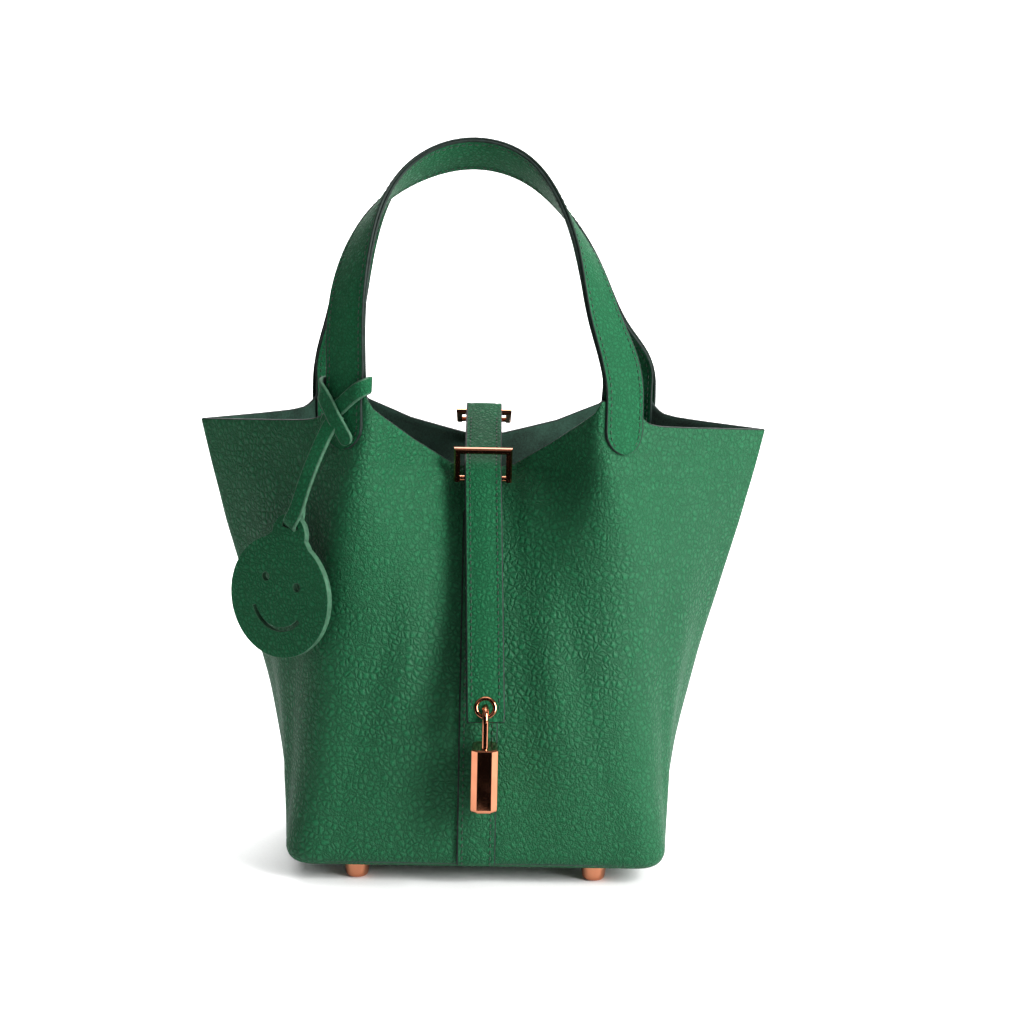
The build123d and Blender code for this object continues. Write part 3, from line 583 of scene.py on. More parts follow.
def band_section(low, high, seam=None, plump=0.12, under_seam=False):
    """Section of a strip as (side, inset from the edge, height, finish of the next stretch)."""
    r = min(0.5, (high - low) * 0.36)
    face = [(0.0, low + r, 1), (0.0, high - r, 1), (0.3 * r, high - 0.3 * r, 1), (r, high, 1),
            (EDGE_BAND, high + 0.02, 0)]
    if seam:
        face += [(seam - 0.7, high + 0.02, 0), (seam, high - SEAM_GROOVE, 0),
                 (seam + 0.8, high + 0.3 * plump, 0)]
    under = [(EDGE_BAND, low, 1), (r, low, 1), (0.3 * r, low + 0.3 * r, 1)]
    if under_seam:
        under = [(seam + 0.8, low, 2), (seam, low + SEAM_GROOVE, 2), (seam - 0.7, low, 2)] + under
    section = [(-1, *row) for row in face]
    section.append((0, 0, high + plump, 0))
    mirrored = [(1, inset, height) for inset, height, _ in reversed(face)]
    finish = [0] * (len(face) - 5) + [0, 1, 1, 1, 1]
    section += [(*row, f) for row, f in zip(mirrored, finish)]
    below = [(1, inset, height) for inset, height, _ in reversed(under)]
    section += [(*row, f) for row, f in zip(below, [1, 1, 2] + [2] * (len(under) - 3))]
    section += [(-1, inset, height, f) for (inset, height, _),
                f in zip(under, [2] * (len(under) - 3) + [1, 1, 1])]
    return section


def frames_along(points, outward):
    """Directions along a band: the given outward vectors made square to the path, and its width."""
    along = tangents(points)
    out = np.asarray(outward, float)
    out = unit(out - along * (out * along).sum(1, keepdims=True))
    return out, np.cross(along, out)


def band(name, points, outward, half, section, materials, lift=None, low_reach=None):
    """Strip of leather along a path, closed at both ends, with softly turned-in corners."""
    points = np.asarray(points, float)
    out, width = frames_along(points, outward)
    half = np.broadcast_to(half, len(points))
    lift = np.zeros(len(points)) if lift is None else lift
    low_reach = np.zeros(len(points)) if low_reach is None else low_reach
    middle = sum(row[2] for row in section) / len(section)
    rows, slots = [], []
    last = len(points) - 1
    for i, point in enumerate(points):
        squeeze = 0.72 if i in (0, last) else 1.0
        trim = 0.22 if i in (0, last) else 0.0
        row = []
        for side, inset, height, _ in section:
            across = side * max(half[i] - inset - trim, 0.02)
            t = middle + (height - middle) * squeeze + lift[i]
            if height < middle:
                t -= low_reach[i]
            row.append(point + width[i] * across + out[i] * t)
        rows.append(row)
    grid = np.array(rows)
    count = len(section)
    faces = grid_faces(len(rows), count, True)
    slots = [section[j][3] for _ in range(len(rows) - 1) for j in range(count)]
    faces += [tuple(range(count))[::-1], tuple(range(last * count, (last + 1) * count))]
    slots += [1, 1]
    obj = add_mesh(name, grid.reshape(-1, 3), faces, materials, slots, sharp=50)
    return obj


def thread_row(points, outward, shift, height, pitch, length=2.0, radius=0.27):
    """Points and faces of one row of stitches, beside the middle line of a band."""
    points = np.asarray(points, float)
    out, width = frames_along(points, outward)
    line = points + width * np.reshape(shift, (-1, 1)) + out * np.reshape(height, (-1, 1))
    reach = np.concatenate([[0], np.cumsum(np.linalg.norm(np.diff(line, axis=0), axis=1))])
    count = max(int(reach[-1] / pitch), 1)
    centres = (np.arange(count) + 0.5) * reach[-1] / count
    steps = np.array((-0.5, -0.34, -0.12, 0.12, 0.34, 0.5)) * length
    dips = np.array((-0.42, -0.06, 0.04, 0.04, -0.06, -0.42))
    sizes = np.array((0.6, 1, 1, 1, 1, 0.6)) * radius
    angles = np.linspace(0, 2 * math.pi, 7)[:-1]
    at = np.clip(centres[:, None] + steps, 0, reach[-1])

    def sample(values):
        return np.stack([np.interp(at, reach, values[:, k]) for k in range(3)], -1)

    place, up, across = sample(line), unit(sample(out)), unit(sample(width))
    slant = np.linspace(-0.1, 0.1, len(steps))
    place = place + across * slant[None, :, None] + up * dips[None, :, None]
    ring = (across[:, :, None] * np.cos(angles)[None, None, :, None]
            + up[:, :, None] * np.sin(angles)[None, None, :, None]) * sizes[None, :, None, None]
    vertices = (place[:, :, None] + ring).reshape(-1, 3)
    faces = []
    each = len(steps) * len(angles)
    for k in range(count):
        faces += grid_faces(len(steps), len(angles), True, k * each)
        faces += [tuple(range(k * each, k * each + 6))[::-1],
                  tuple(range((k + 1) * each - 6, (k + 1) * each))]
    return vertices, faces


def add_threads(name, rows, materials):
    vertices, faces = [], []
    for points, quads in rows:
        start = len(vertices)
        vertices.extend(points)
        faces.extend(tuple(v + start for v in face) for face in quads)
    return add_mesh(name, vertices, faces, [materials["thread"]])


def lathe(profile, centre, axis, side, turns=48):
    """Turned piece: (radius, height) points swept about an axis."""
    axis, side = unit(axis), unit(side)
    other = np.cross(axis, side)
    angles = np.linspace(0, 2 * math.pi, turns + 1)[:-1]
    rows = [[np.array(centre) + axis * h + (side * math.cos(a) + other * math.sin(a)) * r for a in angles]
            for r, h in profile]
    return np.array(rows).reshape(-1, 3), grid_faces(len(profile), turns, True)


# ---- what each operator builds ------------------------------------------------------------------------

def build_body(finish):
    grid = softened(shell_grid())
    normals = grid_normals(grid)
    rows, columns = grid.shape[:2]
    leather = bpy.context.scene.bucket_bag.leather_thickness / MM
    inner = grid - normals * leather
    rim_round = 0.5
    up = np.array((0, 0, 1.0))
    outer_top, inner_top = grid[-1], inner[-1]
    shoulders = [outer_top - normals[-1] * 0.25 + up * rim_round * 0.7,
                 (outer_top + inner_top) / 2 + up * rim_round,
                 inner_top + normals[-1] * 0.25 + up * rim_round * 0.7]
    vertices = np.concatenate([grid.reshape(-1, 3), *shoulders, inner[::-1].reshape(-1, 3), grid[0]])
    total = rows * 2 + 4
    faces = grid_faces(total, columns, True)
    slots = []
    for i in range(total - 1):
        if i < rows - 1:
            slot = 0
        elif i < rows + 3:
            slot = 2
        else:
            slot = 1
        slots += [slot] * columns
    body = add_mesh("bag_body", vertices, faces,
                    [finish["pebbled_leather"], finish["suede"], finish["edge_paint"]], slots)
    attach(body, "root")
    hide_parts("body_left", "body_right")


def base_plate(name, low, high, inset, materials, rounding):
    """Flat layer of the base, its edge rounded, closed over the top and bottom."""
    edge = outline(FOOT_HEIGHT + BASE_ROUND, 0)
    centre = np.array((0.0, 0.0))
    rings = []

    def ring(shrink, z):
        scale = np.array((1 - shrink / BASE_HALF_WIDTH, 1 - shrink / BASE_HALF_DEPTH))
        return np.column_stack([centre + edge * scale, np.full(len(edge), z)])

    steps = (80, 60, 40, 20, 8, 2)
    for extra in steps:
        share = 1 - extra / 82
        flat = np.column_stack([edge * share * (1 - inset / BASE_HALF_DEPTH), np.full(len(edge), low)])
        rings.append(flat)
    rings += [ring(inset + rounding * 0.3, low + rounding * 0.3), ring(inset, low + rounding),
              ring(inset, high - rounding),
              ring(inset + rounding * 0.3, high - rounding * 0.3)]
    for extra in reversed(steps):
        share = 1 - extra / 82
        rings.append(np.column_stack([edge * share * (1 - inset / BASE_HALF_DEPTH),
                                      np.full(len(edge), high)]))
    columns = len(edge)
    faces = grid_faces(len(rings), columns, True)
    faces += [tuple(range(columns))[::-1], tuple(range((len(rings) - 1) * columns, len(rings) * columns))]
    return add_mesh(name, np.concatenate(rings), faces, materials, sharp=60)


def build_base(finish):
    panel = base_plate("base_leather", FOOT_HEIGHT - 0.3, 9.0, 8.2, [finish["smooth_leather"]], 0.5)
    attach(panel, "root")
    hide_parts("base_panel")
    lining = base_plate("base_suede", 9.2, 12.4, 1.6, [finish["suede"]], 0.8)
    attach(lining, "root")
    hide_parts("base_lining", "base_board")
    foot_profile = ((0.05, 0), (2.6, 0), (3.9, 0.25), (4.6, 0.8), (4.95, 1.7), (5.2, 3.2), (5.45, 4.8),
                    (5.75, 5.9), (5.8, 6.4), (5.5, 6.8), (1.5, 6.95), (1.5, 13.2), (0.05, 13.3))
    vertices, faces = [], []
    for x in (-51, 51):
        for y in (-48, 48):
            points, quads = lathe(foot_profile, (x, y, 0), (0, 0, 1), (1, 0, 0))
            start = len(vertices)
            vertices.extend(points)
            faces.extend(tuple(v + start for v in quad) for quad in quads)
    feet = add_mesh("base_feet", vertices, faces, [finish["rose_metal"]], sharp=35)
    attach(feet, "root")
    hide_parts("feet")
    dress_node("foot_washers", finish["rose_metal"])


def dress_node(name, material):
    """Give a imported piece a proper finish."""
    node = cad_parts[name]
    node.data.materials.clear()
    node.data.materials.append(material)
    return node


def centre_line(front, low, high, step=2.0):
    """Points and outward directions up the middle of the front or back wall."""
    z = np.linspace(low, high, max(int((high - low) / step), 4))
    sign = -1 if front else 1
    y = np.array([sign * (centre_depth(v, front) - base_inset(v)) for v in z])
    points = np.column_stack([np.zeros_like(z), y, z])
    along = tangents(points)
    outward = np.column_stack([np.zeros_like(z), along[:, 2] * sign, -along[:, 1] * sign])
    return points, outward


def build_strips(finish):
    pitch = bpy.context.scene.bucket_bag.stitch_pitch / MM
    for name, front, top in (("front", True, STRIP_TOP), ("back", False, BACK_STRIP_TOP)):
        points, outward = centre_line(front, 9.6, top, 1.5)
        face = STRIP_THICKNESS - 0.6
        section = band_section(-0.6, face, seam=SEAM_INSET, plump=0.1)
        materials = [finish["pebbled_leather"], finish["edge_paint"], finish["suede"]]
        strip = band(f"{name}_seam_strip", points, outward, STRIP_WIDTH / 2, section, materials)
        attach(strip, "root")
        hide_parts(f"{name}_strip")
        rows = [thread_row(points, outward, side * (STRIP_WIDTH / 2 - SEAM_INSET), face,
                           pitch) for side in (-1,
                                                                                                      1)]
        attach(add_threads(f"{name}_strip_stitches", rows, finish), "root")


def handle_path(front):
    """Middle line of a whole handle, from one sewn end over the arch to the other, and its faces."""
    ends = []
    for side in (-1, 1):
        zs = np.concatenate([END_HEIGHT + np.array((0, 0.15, 0.5, 1.1, 2, 3.2, 4.8, 7, 10)),
                             np.arange(197, 206, 3)])
        ends.append(np.array([on_wall(front, side, z) for z in zs]))
    legs = [leg_centre(front, side) + np.array((0, 0, 208.0)) for side in (-1, 1)]
    low = [leg_centre(front, side) + np.array((0, 0, 213.0)) for side in (-1, 1)]
    arch = smooth_path([legs[0], low[0], *(FRONT_ARCH if front else BACK_ARCH), low[1], legs[1]], 3.0)
    points = np.concatenate([ends[0], arch, ends[1][::-1]])
    along = tangents(points)
    apex = points[:, 2].max()
    sign = 1 if front else -1
    tilt = math.radians(ARCH_TILT)
    across_top = np.array((0, sign * math.cos(tilt), -math.sin(tilt)))
    half_way = int(np.argmax(points[:, 2]))
    twist = np.where(np.arange(len(points)) < half_way, LEFT_TWIST, RIGHT_TWIST)
    rise = np.clip((points[:, 2] - HINGE_HEIGHT) / (apex - HINGE_HEIGHT), 0, 1) ** twist
    outward = []
    for i, point in enumerate(points):
        side = -1 if i < half_way else 1
        width = side_run(front, side, point[2]) * (1 - rise[i]) + across_top * rise[i]
        width = width - along[i] * (along[i] @ width)
        outward.append(np.cross(along[i], unit(width)) * sign)
    return points, np.array(outward)


def handle_halves(points, half):
    """Half width along a handle, narrowing to round ends."""
    down = np.clip(points[:, 2] - END_HEIGHT, 0, half)
    return np.sqrt(np.maximum(half ** 2 - (half - down) ** 2, 0.3))


def build_handles(finish):
    settings = bpy.context.scene.bucket_bag
    pitch = settings.stitch_pitch / MM
    half = settings.handle_width / MM / 2
    for name, front in (("front", True), ("back", False)):
        points, outward = handle_path(front)
        z = points[:, 2]
        spread = 1 - smooth_step(*PART_HEIGHTS, z)
        bury = 1.2 * (1 - smooth_step(192, 204, z))
        halves = handle_halves(points, half)
        materials = [finish["smooth_leather"], finish["edge_paint"], finish["smooth_leather"]]
        body = f"{name}_handle"
        for layer, sign in (("outer", 1), ("inner", -1)):
            section = band_section(0.0, HANDLE_LAYER, seam=2.2, plump=0.1)
            strip = band(f"{body}_{layer}_strip", points if sign > 0 else points[::-1],
                         outward if sign > 0 else -outward[::-1], halves if sign > 0 else halves[::-1],
                         section, materials,
                         lift=spread if sign > 0 else spread[::-1],
                         low_reach=bury if sign > 0 else bury[::-1])
            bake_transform(strip)
            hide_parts(f"{body}_{layer}", f"{body}_ends_{layer}")
        rows = []
        for sign in (1, -1):
            seam = np.maximum(halves - 2.2, 0)
            up = HANDLE_LAYER + spread
            keep = z > END_HEIGHT + 2.2
            for side in (-1, 1):
                rows.append(thread_row(points[keep], sign * outward[keep], side * seam[keep], up[keep],
                                       pitch))
        stitches = add_threads(f"{body}_stitches", rows, finish)
        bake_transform(stitches)


def strap_line():
    """Middle of the closing strap as (y, z): tail end, bend in the front ring, rear ring's bar."""
    bend, bar = np.array(STRAP_BEND), np.array(REAR_BAR)
    thick = STRAP_OUTER + STRAP_LINING
    lift = REAR_LOOP_RADIUS + STRAP_OUTER / 2 - thick / 2
    run = bar - bend
    slope = math.atan2(run[1], run[0]) - math.asin(lift / np.linalg.norm(run))
    up = np.array((-math.sin(slope), math.cos(slope)))
    start = bar + up * lift
    tail_way = np.array((-math.sin(TAIL_ANGLE), -math.cos(TAIL_ANGLE)))
    bridge_way = unit(start - bend)
    turn = math.acos(float(-tail_way @ bridge_way))
    run_in = BEND_RADIUS * math.tan(turn / 2)
    tail = [bend + tail_way * s for s in np.linspace(TAIL_LENGTH, run_in, 48)]
    curve = bezier(bend + tail_way * run_in, bend, bend + bridge_way * run_in, np.linspace(0, 1, 11)[1:-1])
    bridge = [bend + bridge_way * s for s in np.linspace(run_in, np.linalg.norm(start - bend), 22)]
    return np.array([*tail, *curve, *bridge]), bar, up, slope


def strap_in_space(line):
    """Leans the hanging part of the strap a little to the side."""
    bend = np.array(STRAP_BEND)
    below = np.linalg.norm(line - bend, axis=1) * (line[:, 0] < bend[0])
    x = below * math.sin(TAIL_LEAN)
    return np.column_stack([x, line[:, 0], line[:, 1]])


def normals_2d(line):
    along = tangents(line)
    return np.column_stack([-along[:, 1], along[:, 0]])


def build_strap(finish):
    settings = bpy.context.scene.bucket_bag
    half = settings.strap_width / MM / 2
    pitch = settings.stitch_pitch / MM
    line, bar, up, slope = strap_line()
    out2 = normals_2d(line)
    top_line = line + out2 * (STRAP_OUTER / 2 - 0.1)
    swing = np.linspace(math.pi / 2 + slope, slope - math.pi * 0.62, 22)[1:]
    loop = bar + REAR_LOOP_RADIUS * np.column_stack([np.cos(swing), np.sin(swing)])
    way = np.array((math.cos(slope), math.sin(slope)))
    lap = [bar - way * d + up * h for d, h in ((6.5, -1.6), (9.5, -0.4), (13, 0.15), (17, 0.3), (21, 0.3))]
    whole = np.concatenate([top_line, loop, lap])
    dense = np.column_stack([np.zeros(len(whole)), whole])
    folded = smooth_path(dense[len(top_line) - 2:], 0.7)[:, 1:]
    path = np.concatenate([top_line[:-2], folded])
    points = strap_in_space(path)
    outward = np.column_stack([np.zeros(len(path)), normals_2d(path)])
    materials = [finish["smooth_leather"], finish["edge_paint"], finish["suede"]]
    section = band_section(-STRAP_OUTER / 2, STRAP_OUTER / 2, seam=SEAM_INSET, plump=0.1)
    upper = band("closing_strap", points, outward, half, section, materials)
    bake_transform(upper)
    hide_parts("strap_bridge", "strap_tail")
    under = line[:-7] - out2[:-7] * (STRAP_LINING / 2 + 0.1)
    section = band_section(-STRAP_LINING / 2, STRAP_LINING / 2, seam=SEAM_INSET, plump=0.05)
    under_points = strap_in_space(under)[::-1]
    lining = band("closing_strap_lining", under_points,
                  -np.column_stack([np.zeros(len(under)), out2[:-7]])[::-1], half,
                  section, materials)
    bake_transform(lining)
    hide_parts("strap_tail_lining")
    sewn = slice(2, len(top_line) - 5)
    rows = [thread_row(points[sewn], outward[sewn], side * (half - SEAM_INSET), STRAP_OUTER / 2,
                       pitch) for side in (-1, 1)]
    below = slice(9, len(under_points) - 2)
    under_out = -np.column_stack([np.zeros(len(under)), out2[:-7]])[::-1]
    rows += [thread_row(under_points[below], under_out[below], side * (half - SEAM_INSET), STRAP_LINING / 2,
                        pitch)
             for side in (-1, 1)]
    stitches = add_threads("closing_strap_stitches", rows, finish)
    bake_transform(stitches)


def tab_path(front):
    """Leather tab up the wall and round its ring's pin."""
    top, pin = (STRIP_TOP, FRONT_PIN) if front else (BACK_STRIP_TOP, REAR_PIN)
    sign = -1 if front else 1
    high = pin[1] - 3.4 if front else 183.5
    points, _ = centre_line(front, top + 0.5, high, 1.5)
    line = points[:, 1:] + np.array((sign * STRIP_THICKNESS / 2, 0))
    pin = np.array(pin)
    if front:
        swing = np.linspace(math.pi * 0.97, -math.pi * 0.42, 20)
        around = pin + PIN_WRAP * np.column_stack([np.cos(swing), np.sin(swing)])
    else:
        swing = np.linspace(math.pi * 0.22, math.pi * 1.32, 20)
        around = pin + PIN_WRAP * np.column_stack([np.cos(swing), np.sin(swing)])
        line = np.concatenate([line, [pin + (9.2, -9.4), pin + (5.4, -3.2)]])
    path = np.concatenate([line, around])
    return smooth_path(np.column_stack([np.zeros(len(path)), path]), 0.7)


def build_rings(finish):
    pitch = bpy.context.scene.bucket_bag.stitch_pitch / MM
    for name, front in (("front", True), ("back", False)):
        points = tab_path(front)
        sign = 1 if front else -1
        side_out = normals_2d(points[:, 1:]) * sign
        outward = np.column_stack([np.zeros(len(points)), side_out])
        section = band_section(-STRIP_THICKNESS / 2 + 0.1, STRIP_THICKNESS / 2 - 0.1, seam=SEAM_INSET,
                               plump=0.08)
        materials = [finish["smooth_leather"], finish["edge_paint"], finish["suede"]]
        tab = band(f"{name}_ring_leather", points, outward, TAB_WIDTH / 2, section, materials)
        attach(tab, "root")
        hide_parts(f"{name}_ring_tab")
        sewn = slice(0, 14 if front else 26)
        rows = [thread_row(points[sewn], outward[sewn], side * (TAB_WIDTH / 2 - SEAM_INSET),
                           STRIP_THICKNESS / 2 - 0.1, pitch)
                for side in (-1, 1)]
        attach(add_threads(f"{name}_tab_stitches", rows, finish), "root")
    for name in ("front_ring", "rear_ring"):
        dress_node(name, finish["rose_metal"])


def build_eyelet(finish):
    drop = TAIL_LENGTH - EYELET_FROM_END
    side, forward = TAIL_LEAN, TAIL_ANGLE
    down = np.array((math.sin(side), -math.cos(side) * math.sin(forward),
                     -math.cos(side) * math.cos(forward)))
    centre = np.array((0, *STRAP_BEND)) + down * drop
    out = np.array((0, -math.cos(forward), math.sin(forward)))
    across = np.cross(out, down)
    face = (STRAP_OUTER + STRAP_LINING) / 2
    front_profile = ((3.05, -face), (3.0, face - 0.4), (3.15, face + 0.35), (3.5, face + 0.62),
                     (4.0, face + 0.66),
                     (4.5, face + 0.45), (4.8, face + 0.05), (4.7, face - 0.05))
    back_profile = ((3.35, -face - 0.2), (3.5, -face - 0.5), (4.1, -face - 0.58), (4.6, -face - 0.4),
                    (4.8, -face))
    for name, profile, node in (("eyelet_collar", front_profile, "eyelet_front"),
                                ("eyelet_washer", back_profile, "eyelet_back")):
        points, faces = lathe(profile, centre, out, across)
        ring = add_mesh(name, points, faces, [finish["rose_metal"]])
        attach(ring, "strap_tail")
        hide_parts(node)


def build_padlock(finish):
    for name in ("padlock_shackle", "padlock_case", "padlock_cap", "key_plug", "lock_cam"):
        dress_node(name, finish["rose_metal"])


def charm_axes():
    """Right, up and facing directions of the charm's flat face."""
    across = Vector((math.cos(CHARM_TURN), -math.sin(CHARM_TURN), 0))
    facing = Vector((-math.sin(CHARM_TURN), -math.cos(CHARM_TURN), 0))
    spin = Matrix.Rotation(CHARM_TILT, 3, -facing)
    return spin @ across, spin @ Vector((0, 0, 1)), facing


def charm_outline():
    """Disc whose shoulders run up in a soft curve to a rounded hanging tab."""
    start = math.degrees(math.asin(CHARM_TAB_HALF / CHARM_RADIUS)) + 7
    disc = [(CHARM_RADIUS * math.sin(math.radians(a)), CHARM_RADIUS * math.cos(math.radians(a)))
            for a in np.linspace(start, 360 - start, 96)]
    neck = CHARM_TAB_TOP - CHARM_TAB_HALF
    tab = [(-CHARM_TAB_HALF, neck - 1)]
    tab += [(-CHARM_TAB_HALF * math.cos(math.radians(a)), neck + CHARM_TAB_HALF * math.sin(math.radians(a)))
            for a in np.linspace(0, 180, 24)]
    tab.append((CHARM_TAB_HALF, neck - 1))
    return disc + tab


def round_slot(centre, size):
    """Outline of a slot with round ends."""
    width, height = size
    radius = min(width, height) / 2
    reach = max(width, height) / 2 - radius
    upright = height > width
    points = []
    for end, start in ((1, 0), (-1, 180)):
        for a in np.linspace(start, start + 180, 10):
            x, y = radius * math.cos(math.radians(a)), end * reach + radius * math.sin(math.radians(a))
            points.append((x, y) if upright else (y, -x))
    return [(centre[0] + x, centre[1] + y) for x, y in points]


def round_hole(centre, radius):
    angles = np.linspace(0, 2 * math.pi, 24, endpoint=False)
    return [(centre[0] + radius * math.cos(a), centre[1] + radius * math.sin(a)) for a in angles]


def smile_outline():
    inner, outer = SMILE_RADII
    angles = np.radians(np.linspace(270 - SMILE_REACH, 270 + SMILE_REACH, 40))
    return ([(outer * math.cos(a), outer * math.sin(a)) for a in angles]
            + [(inner * math.cos(a), inner * math.sin(a)) for a in angles[::-1]])


def build_charm(finish):
    curve = bpy.data.curves.new("charm_shape", "CURVE")
    curve.dimensions = "2D"
    curve.fill_mode = "BOTH"
    bevel = 0.35
    curve.extrude = CHARM_THICKNESS / 2 - bevel
    curve.bevel_depth = bevel
    curve.bevel_resolution = 2
    outlines = [charm_outline(), round_slot((0, CHARM_SLOT_AT), CHARM_SLOT), smile_outline()]
    outlines += [round_hole((side * EYE_PLACE[0], EYE_PLACE[1]), EYE_RADIUS) for side in (-1, 1)]
    for shape in outlines:
        spline = curve.splines.new("POLY")
        spline.points.add(len(shape) - 1)
        spline.points.foreach_set("co", [c for x, y in shape for c in (x, y, 0, 1)])
        spline.use_cyclic_u = True
    holder = bpy.data.objects.new("charm_shape", curve)
    bpy.context.scene.collection.objects.link(holder)
    flat = bpy.data.meshes.new_from_object(holder.evaluated_get(bpy.context.evaluated_depsgraph_get()))
    bpy.data.objects.remove(holder)
    across, up, facing = charm_axes()
    points = [CHARM_CENTRE + across * v.co.x + up * v.co.y + facing * v.co.z for v in flat.vertices]
    faces = [tuple(p.vertices) for p in flat.polygons]
    slots = [0 if abs(p.normal.z) > 0.95 else 1 for p in flat.polygons]
    piece = add_mesh("smile_charm", points, faces, [finish["smooth_leather"], finish["raw_edge"]], slots,
                     sharp=40)
    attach(piece, "charm")
    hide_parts("charm")


def build_thong(finish):
    half = bpy.context.scene.bucket_bag.thong_width / MM / 2
    normal, run = side_normal(True, -1), -side_run(True, -1)
    centre = leg_centre(True, -1)
    path = smooth_path(KNOT_PATH, 0.8)
    points = centre + path[:, :1] * run + path[:, 2:] * normal + path[:, 1:2] * np.array((0, 0, 1.0))
    loop_out = np.column_stack([path[:, 0] * np.abs(path[:, 0] / 11) ** 5, path[:, 2] * 3.0])
    outward = unit(loop_out[:, :1] * run + loop_out[:, 1:] * normal)
    reach = np.arange(len(path)) * 0.8
    halves = np.minimum(half, np.sqrt(np.maximum(half ** 2 - (half - np.clip(reach + 0.4, 0, half)) ** 2,
                                                 0.2)))
    section = band_section(-THONG_THICKNESS / 2, THONG_THICKNESS / 2, plump=0.04)
    materials = [finish["smooth_leather"], finish["raw_edge"], finish["suede"]]
    knot = band("thong_knot", points, outward, halves, section, materials)
    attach(knot, "root")
    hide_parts("charm_thong_wrap")
    hang = smooth_path(HANG_PATH, 0.8)
    facing = charm_axes()[2]
    along = tangents(hang)
    facing_out = np.tile(np.array(facing), (len(hang), 1))
    turn_back = smooth_step(0.2, -0.6, along[:, 2] * -1)[:, None]
    facing_out = facing_out * (1 - 2 * turn_back) + np.array((0, 0, -1.0)) * (1 - np.abs(1 - 2 * turn_back))
    thong = band("hanging_thong", hang, facing_out, half, section, materials)
    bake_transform(thong)
    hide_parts("charm_thong")


# ---- stage ---------------------------------------------------------------------------------------

CAMERA_PLACE = Vector((0, -0.7915, 0.2513))
CAMERA_PITCH = math.radians(7.0)
CAMERA_YAW = math.atan2(30, 1798)
CAMERA_ROLL = math.radians(1.2)
CAMERA_LENS = 63.2
SWEEP_BACK, SWEEP_RADIUS, SWEEP_HALF_WIDTH, SWEEP_TOP, SWEEP_FRONT = 2.6, 1.2, 5.0, 4.0, -4.0


def add_camera():
    forward = Vector((math.sin(CAMERA_YAW) * math.cos(CAMERA_PITCH),
                      math.cos(CAMERA_YAW) * math.cos(CAMERA_PITCH),
                      -math.sin(CAMERA_PITCH)))
    level = forward.cross(Vector((0, 0, 1))).normalized()
    upright = level.cross(forward)
    right = level * math.cos(CAMERA_ROLL) + upright * math.sin(CAMERA_ROLL)
    up = upright * math.cos(CAMERA_ROLL) - level * math.sin(CAMERA_ROLL)
    camera = bpy.data.objects.new("camera", bpy.data.cameras.new("camera"))
    camera.data.lens = CAMERA_LENS
    camera.data.sensor_width = 36.0
    turn = Matrix((right, up, -forward)).transposed().to_4x4()
    camera.matrix_world = Matrix.Translation(CAMERA_PLACE) @ turn
    bpy.context.scene.collection.objects.link(camera)
    bpy.context.scene.camera = camera


def add_softbox(name, place, target, size, energy):
    light = bpy.data.lights.new(name, "AREA")
    light.shape = "RECTANGLE"
    light.size, light.size_y = size
    light.energy = energy
    obj = bpy.data.objects.new(name, light)
    obj.location = place
    obj.rotation_euler = (Vector(target) - Vector(place)).to_track_quat("-Z", "Y").to_euler()
    bpy.context.scene.collection.objects.link(obj)
    return obj


def dark_card(name, place, target, size):
    """Black card out of view that gives the polished metal something dark to mirror."""
    material, _, shader = new_material(name, Specular_IOR_Level=0.0, Roughness=1.0)
    shader.inputs["Base Color"].default_value = (0.004, 0.004, 0.004, 1)
    mesh = bpy.data.meshes.new(name)
    w, h = size[0] / 2, size[1] / 2
    mesh.from_pydata([(-w, -h, 0), (w, -h, 0), (w, h, 0), (-w, h, 0)], [], [(0, 1, 2, 3)])
    mesh.materials.append(material)
    card = bpy.data.objects.new(name, mesh)
    card.location = place
    card.rotation_euler = (Vector(target) - Vector(place)).to_track_quat("-Z", "Y").to_euler()
    card.visible_camera = card.visible_diffuse = card.visible_shadow = card.visible_transmission = False
    bpy.context.scene.collection.objects.link(card)


def build_stage():
    settings = bpy.context.scene.bucket_bag
    profile = [(SWEEP_FRONT, 0), (-2, 0), (-1, 0), (0, 0), (1, 0)]
    bend = SWEEP_BACK - SWEEP_RADIUS
    profile += [(bend + SWEEP_RADIUS * math.sin(a),
                 SWEEP_RADIUS * (1 - math.cos(a))) for a in np.linspace(0, math.pi / 2, 14)]
    profile.append((SWEEP_BACK, SWEEP_TOP))
    xs = np.linspace(-SWEEP_HALF_WIDTH, SWEEP_HALF_WIDTH, 9)
    points = [(x / MM, y / MM - FRAME_SHIFT.y / MM, z / MM) for y, z in profile for x in xs]
    floor = add_mesh("studio_sweep", points, grid_faces(len(profile), len(xs), False),
                     [studio_paper("studio_paper")])
    world = bpy.data.worlds.new("studio_air")
    world.use_nodes = True
    background = world.node_tree.nodes["Background"]
    background.inputs["Color"].default_value = (1, 1, 1, 1)
    background.inputs["Strength"].default_value = settings.air_strength
    bpy.context.scene.world = world
    add_softbox("key_softbox", (1.15, -0.75, 0.75), (0, 0, 0.16), (0.7, 1.0), settings.key_energy)
    add_softbox("top_softbox", (0.1, 0.2, 1.6), (0, 0, 0.1), (1.2, 1.0), settings.top_energy)
    add_softbox("fill_softbox", (-1.3, -0.9, 0.6), (0, 0, 0.15), (0.6, 1.0), settings.fill_energy)
    add_softbox("sweep_light", (0, 1.3, 2.2), (0, 2.6, 0.6), (3.0, 1.0), settings.sweep_energy)
    dark_card("front_card", (-0.5, -1.6, 0.5), (-0.1, -0.05, 0.1), (2.2, 1.6))
    dark_card("low_card", (-0.55, -0.75, 0.012), (-0.55, -0.75, 1.0), (2.2, 1.2))
    dark_card("left_card", (-1.1, -0.55, 0.4), (0, -0.05, 0.1), (1.0, 1.2))
    bpy.context.scene.view_settings.view_transform = "Standard"
    add_camera()


# ---- settings, operators and panel -------------------------------------------------------------------

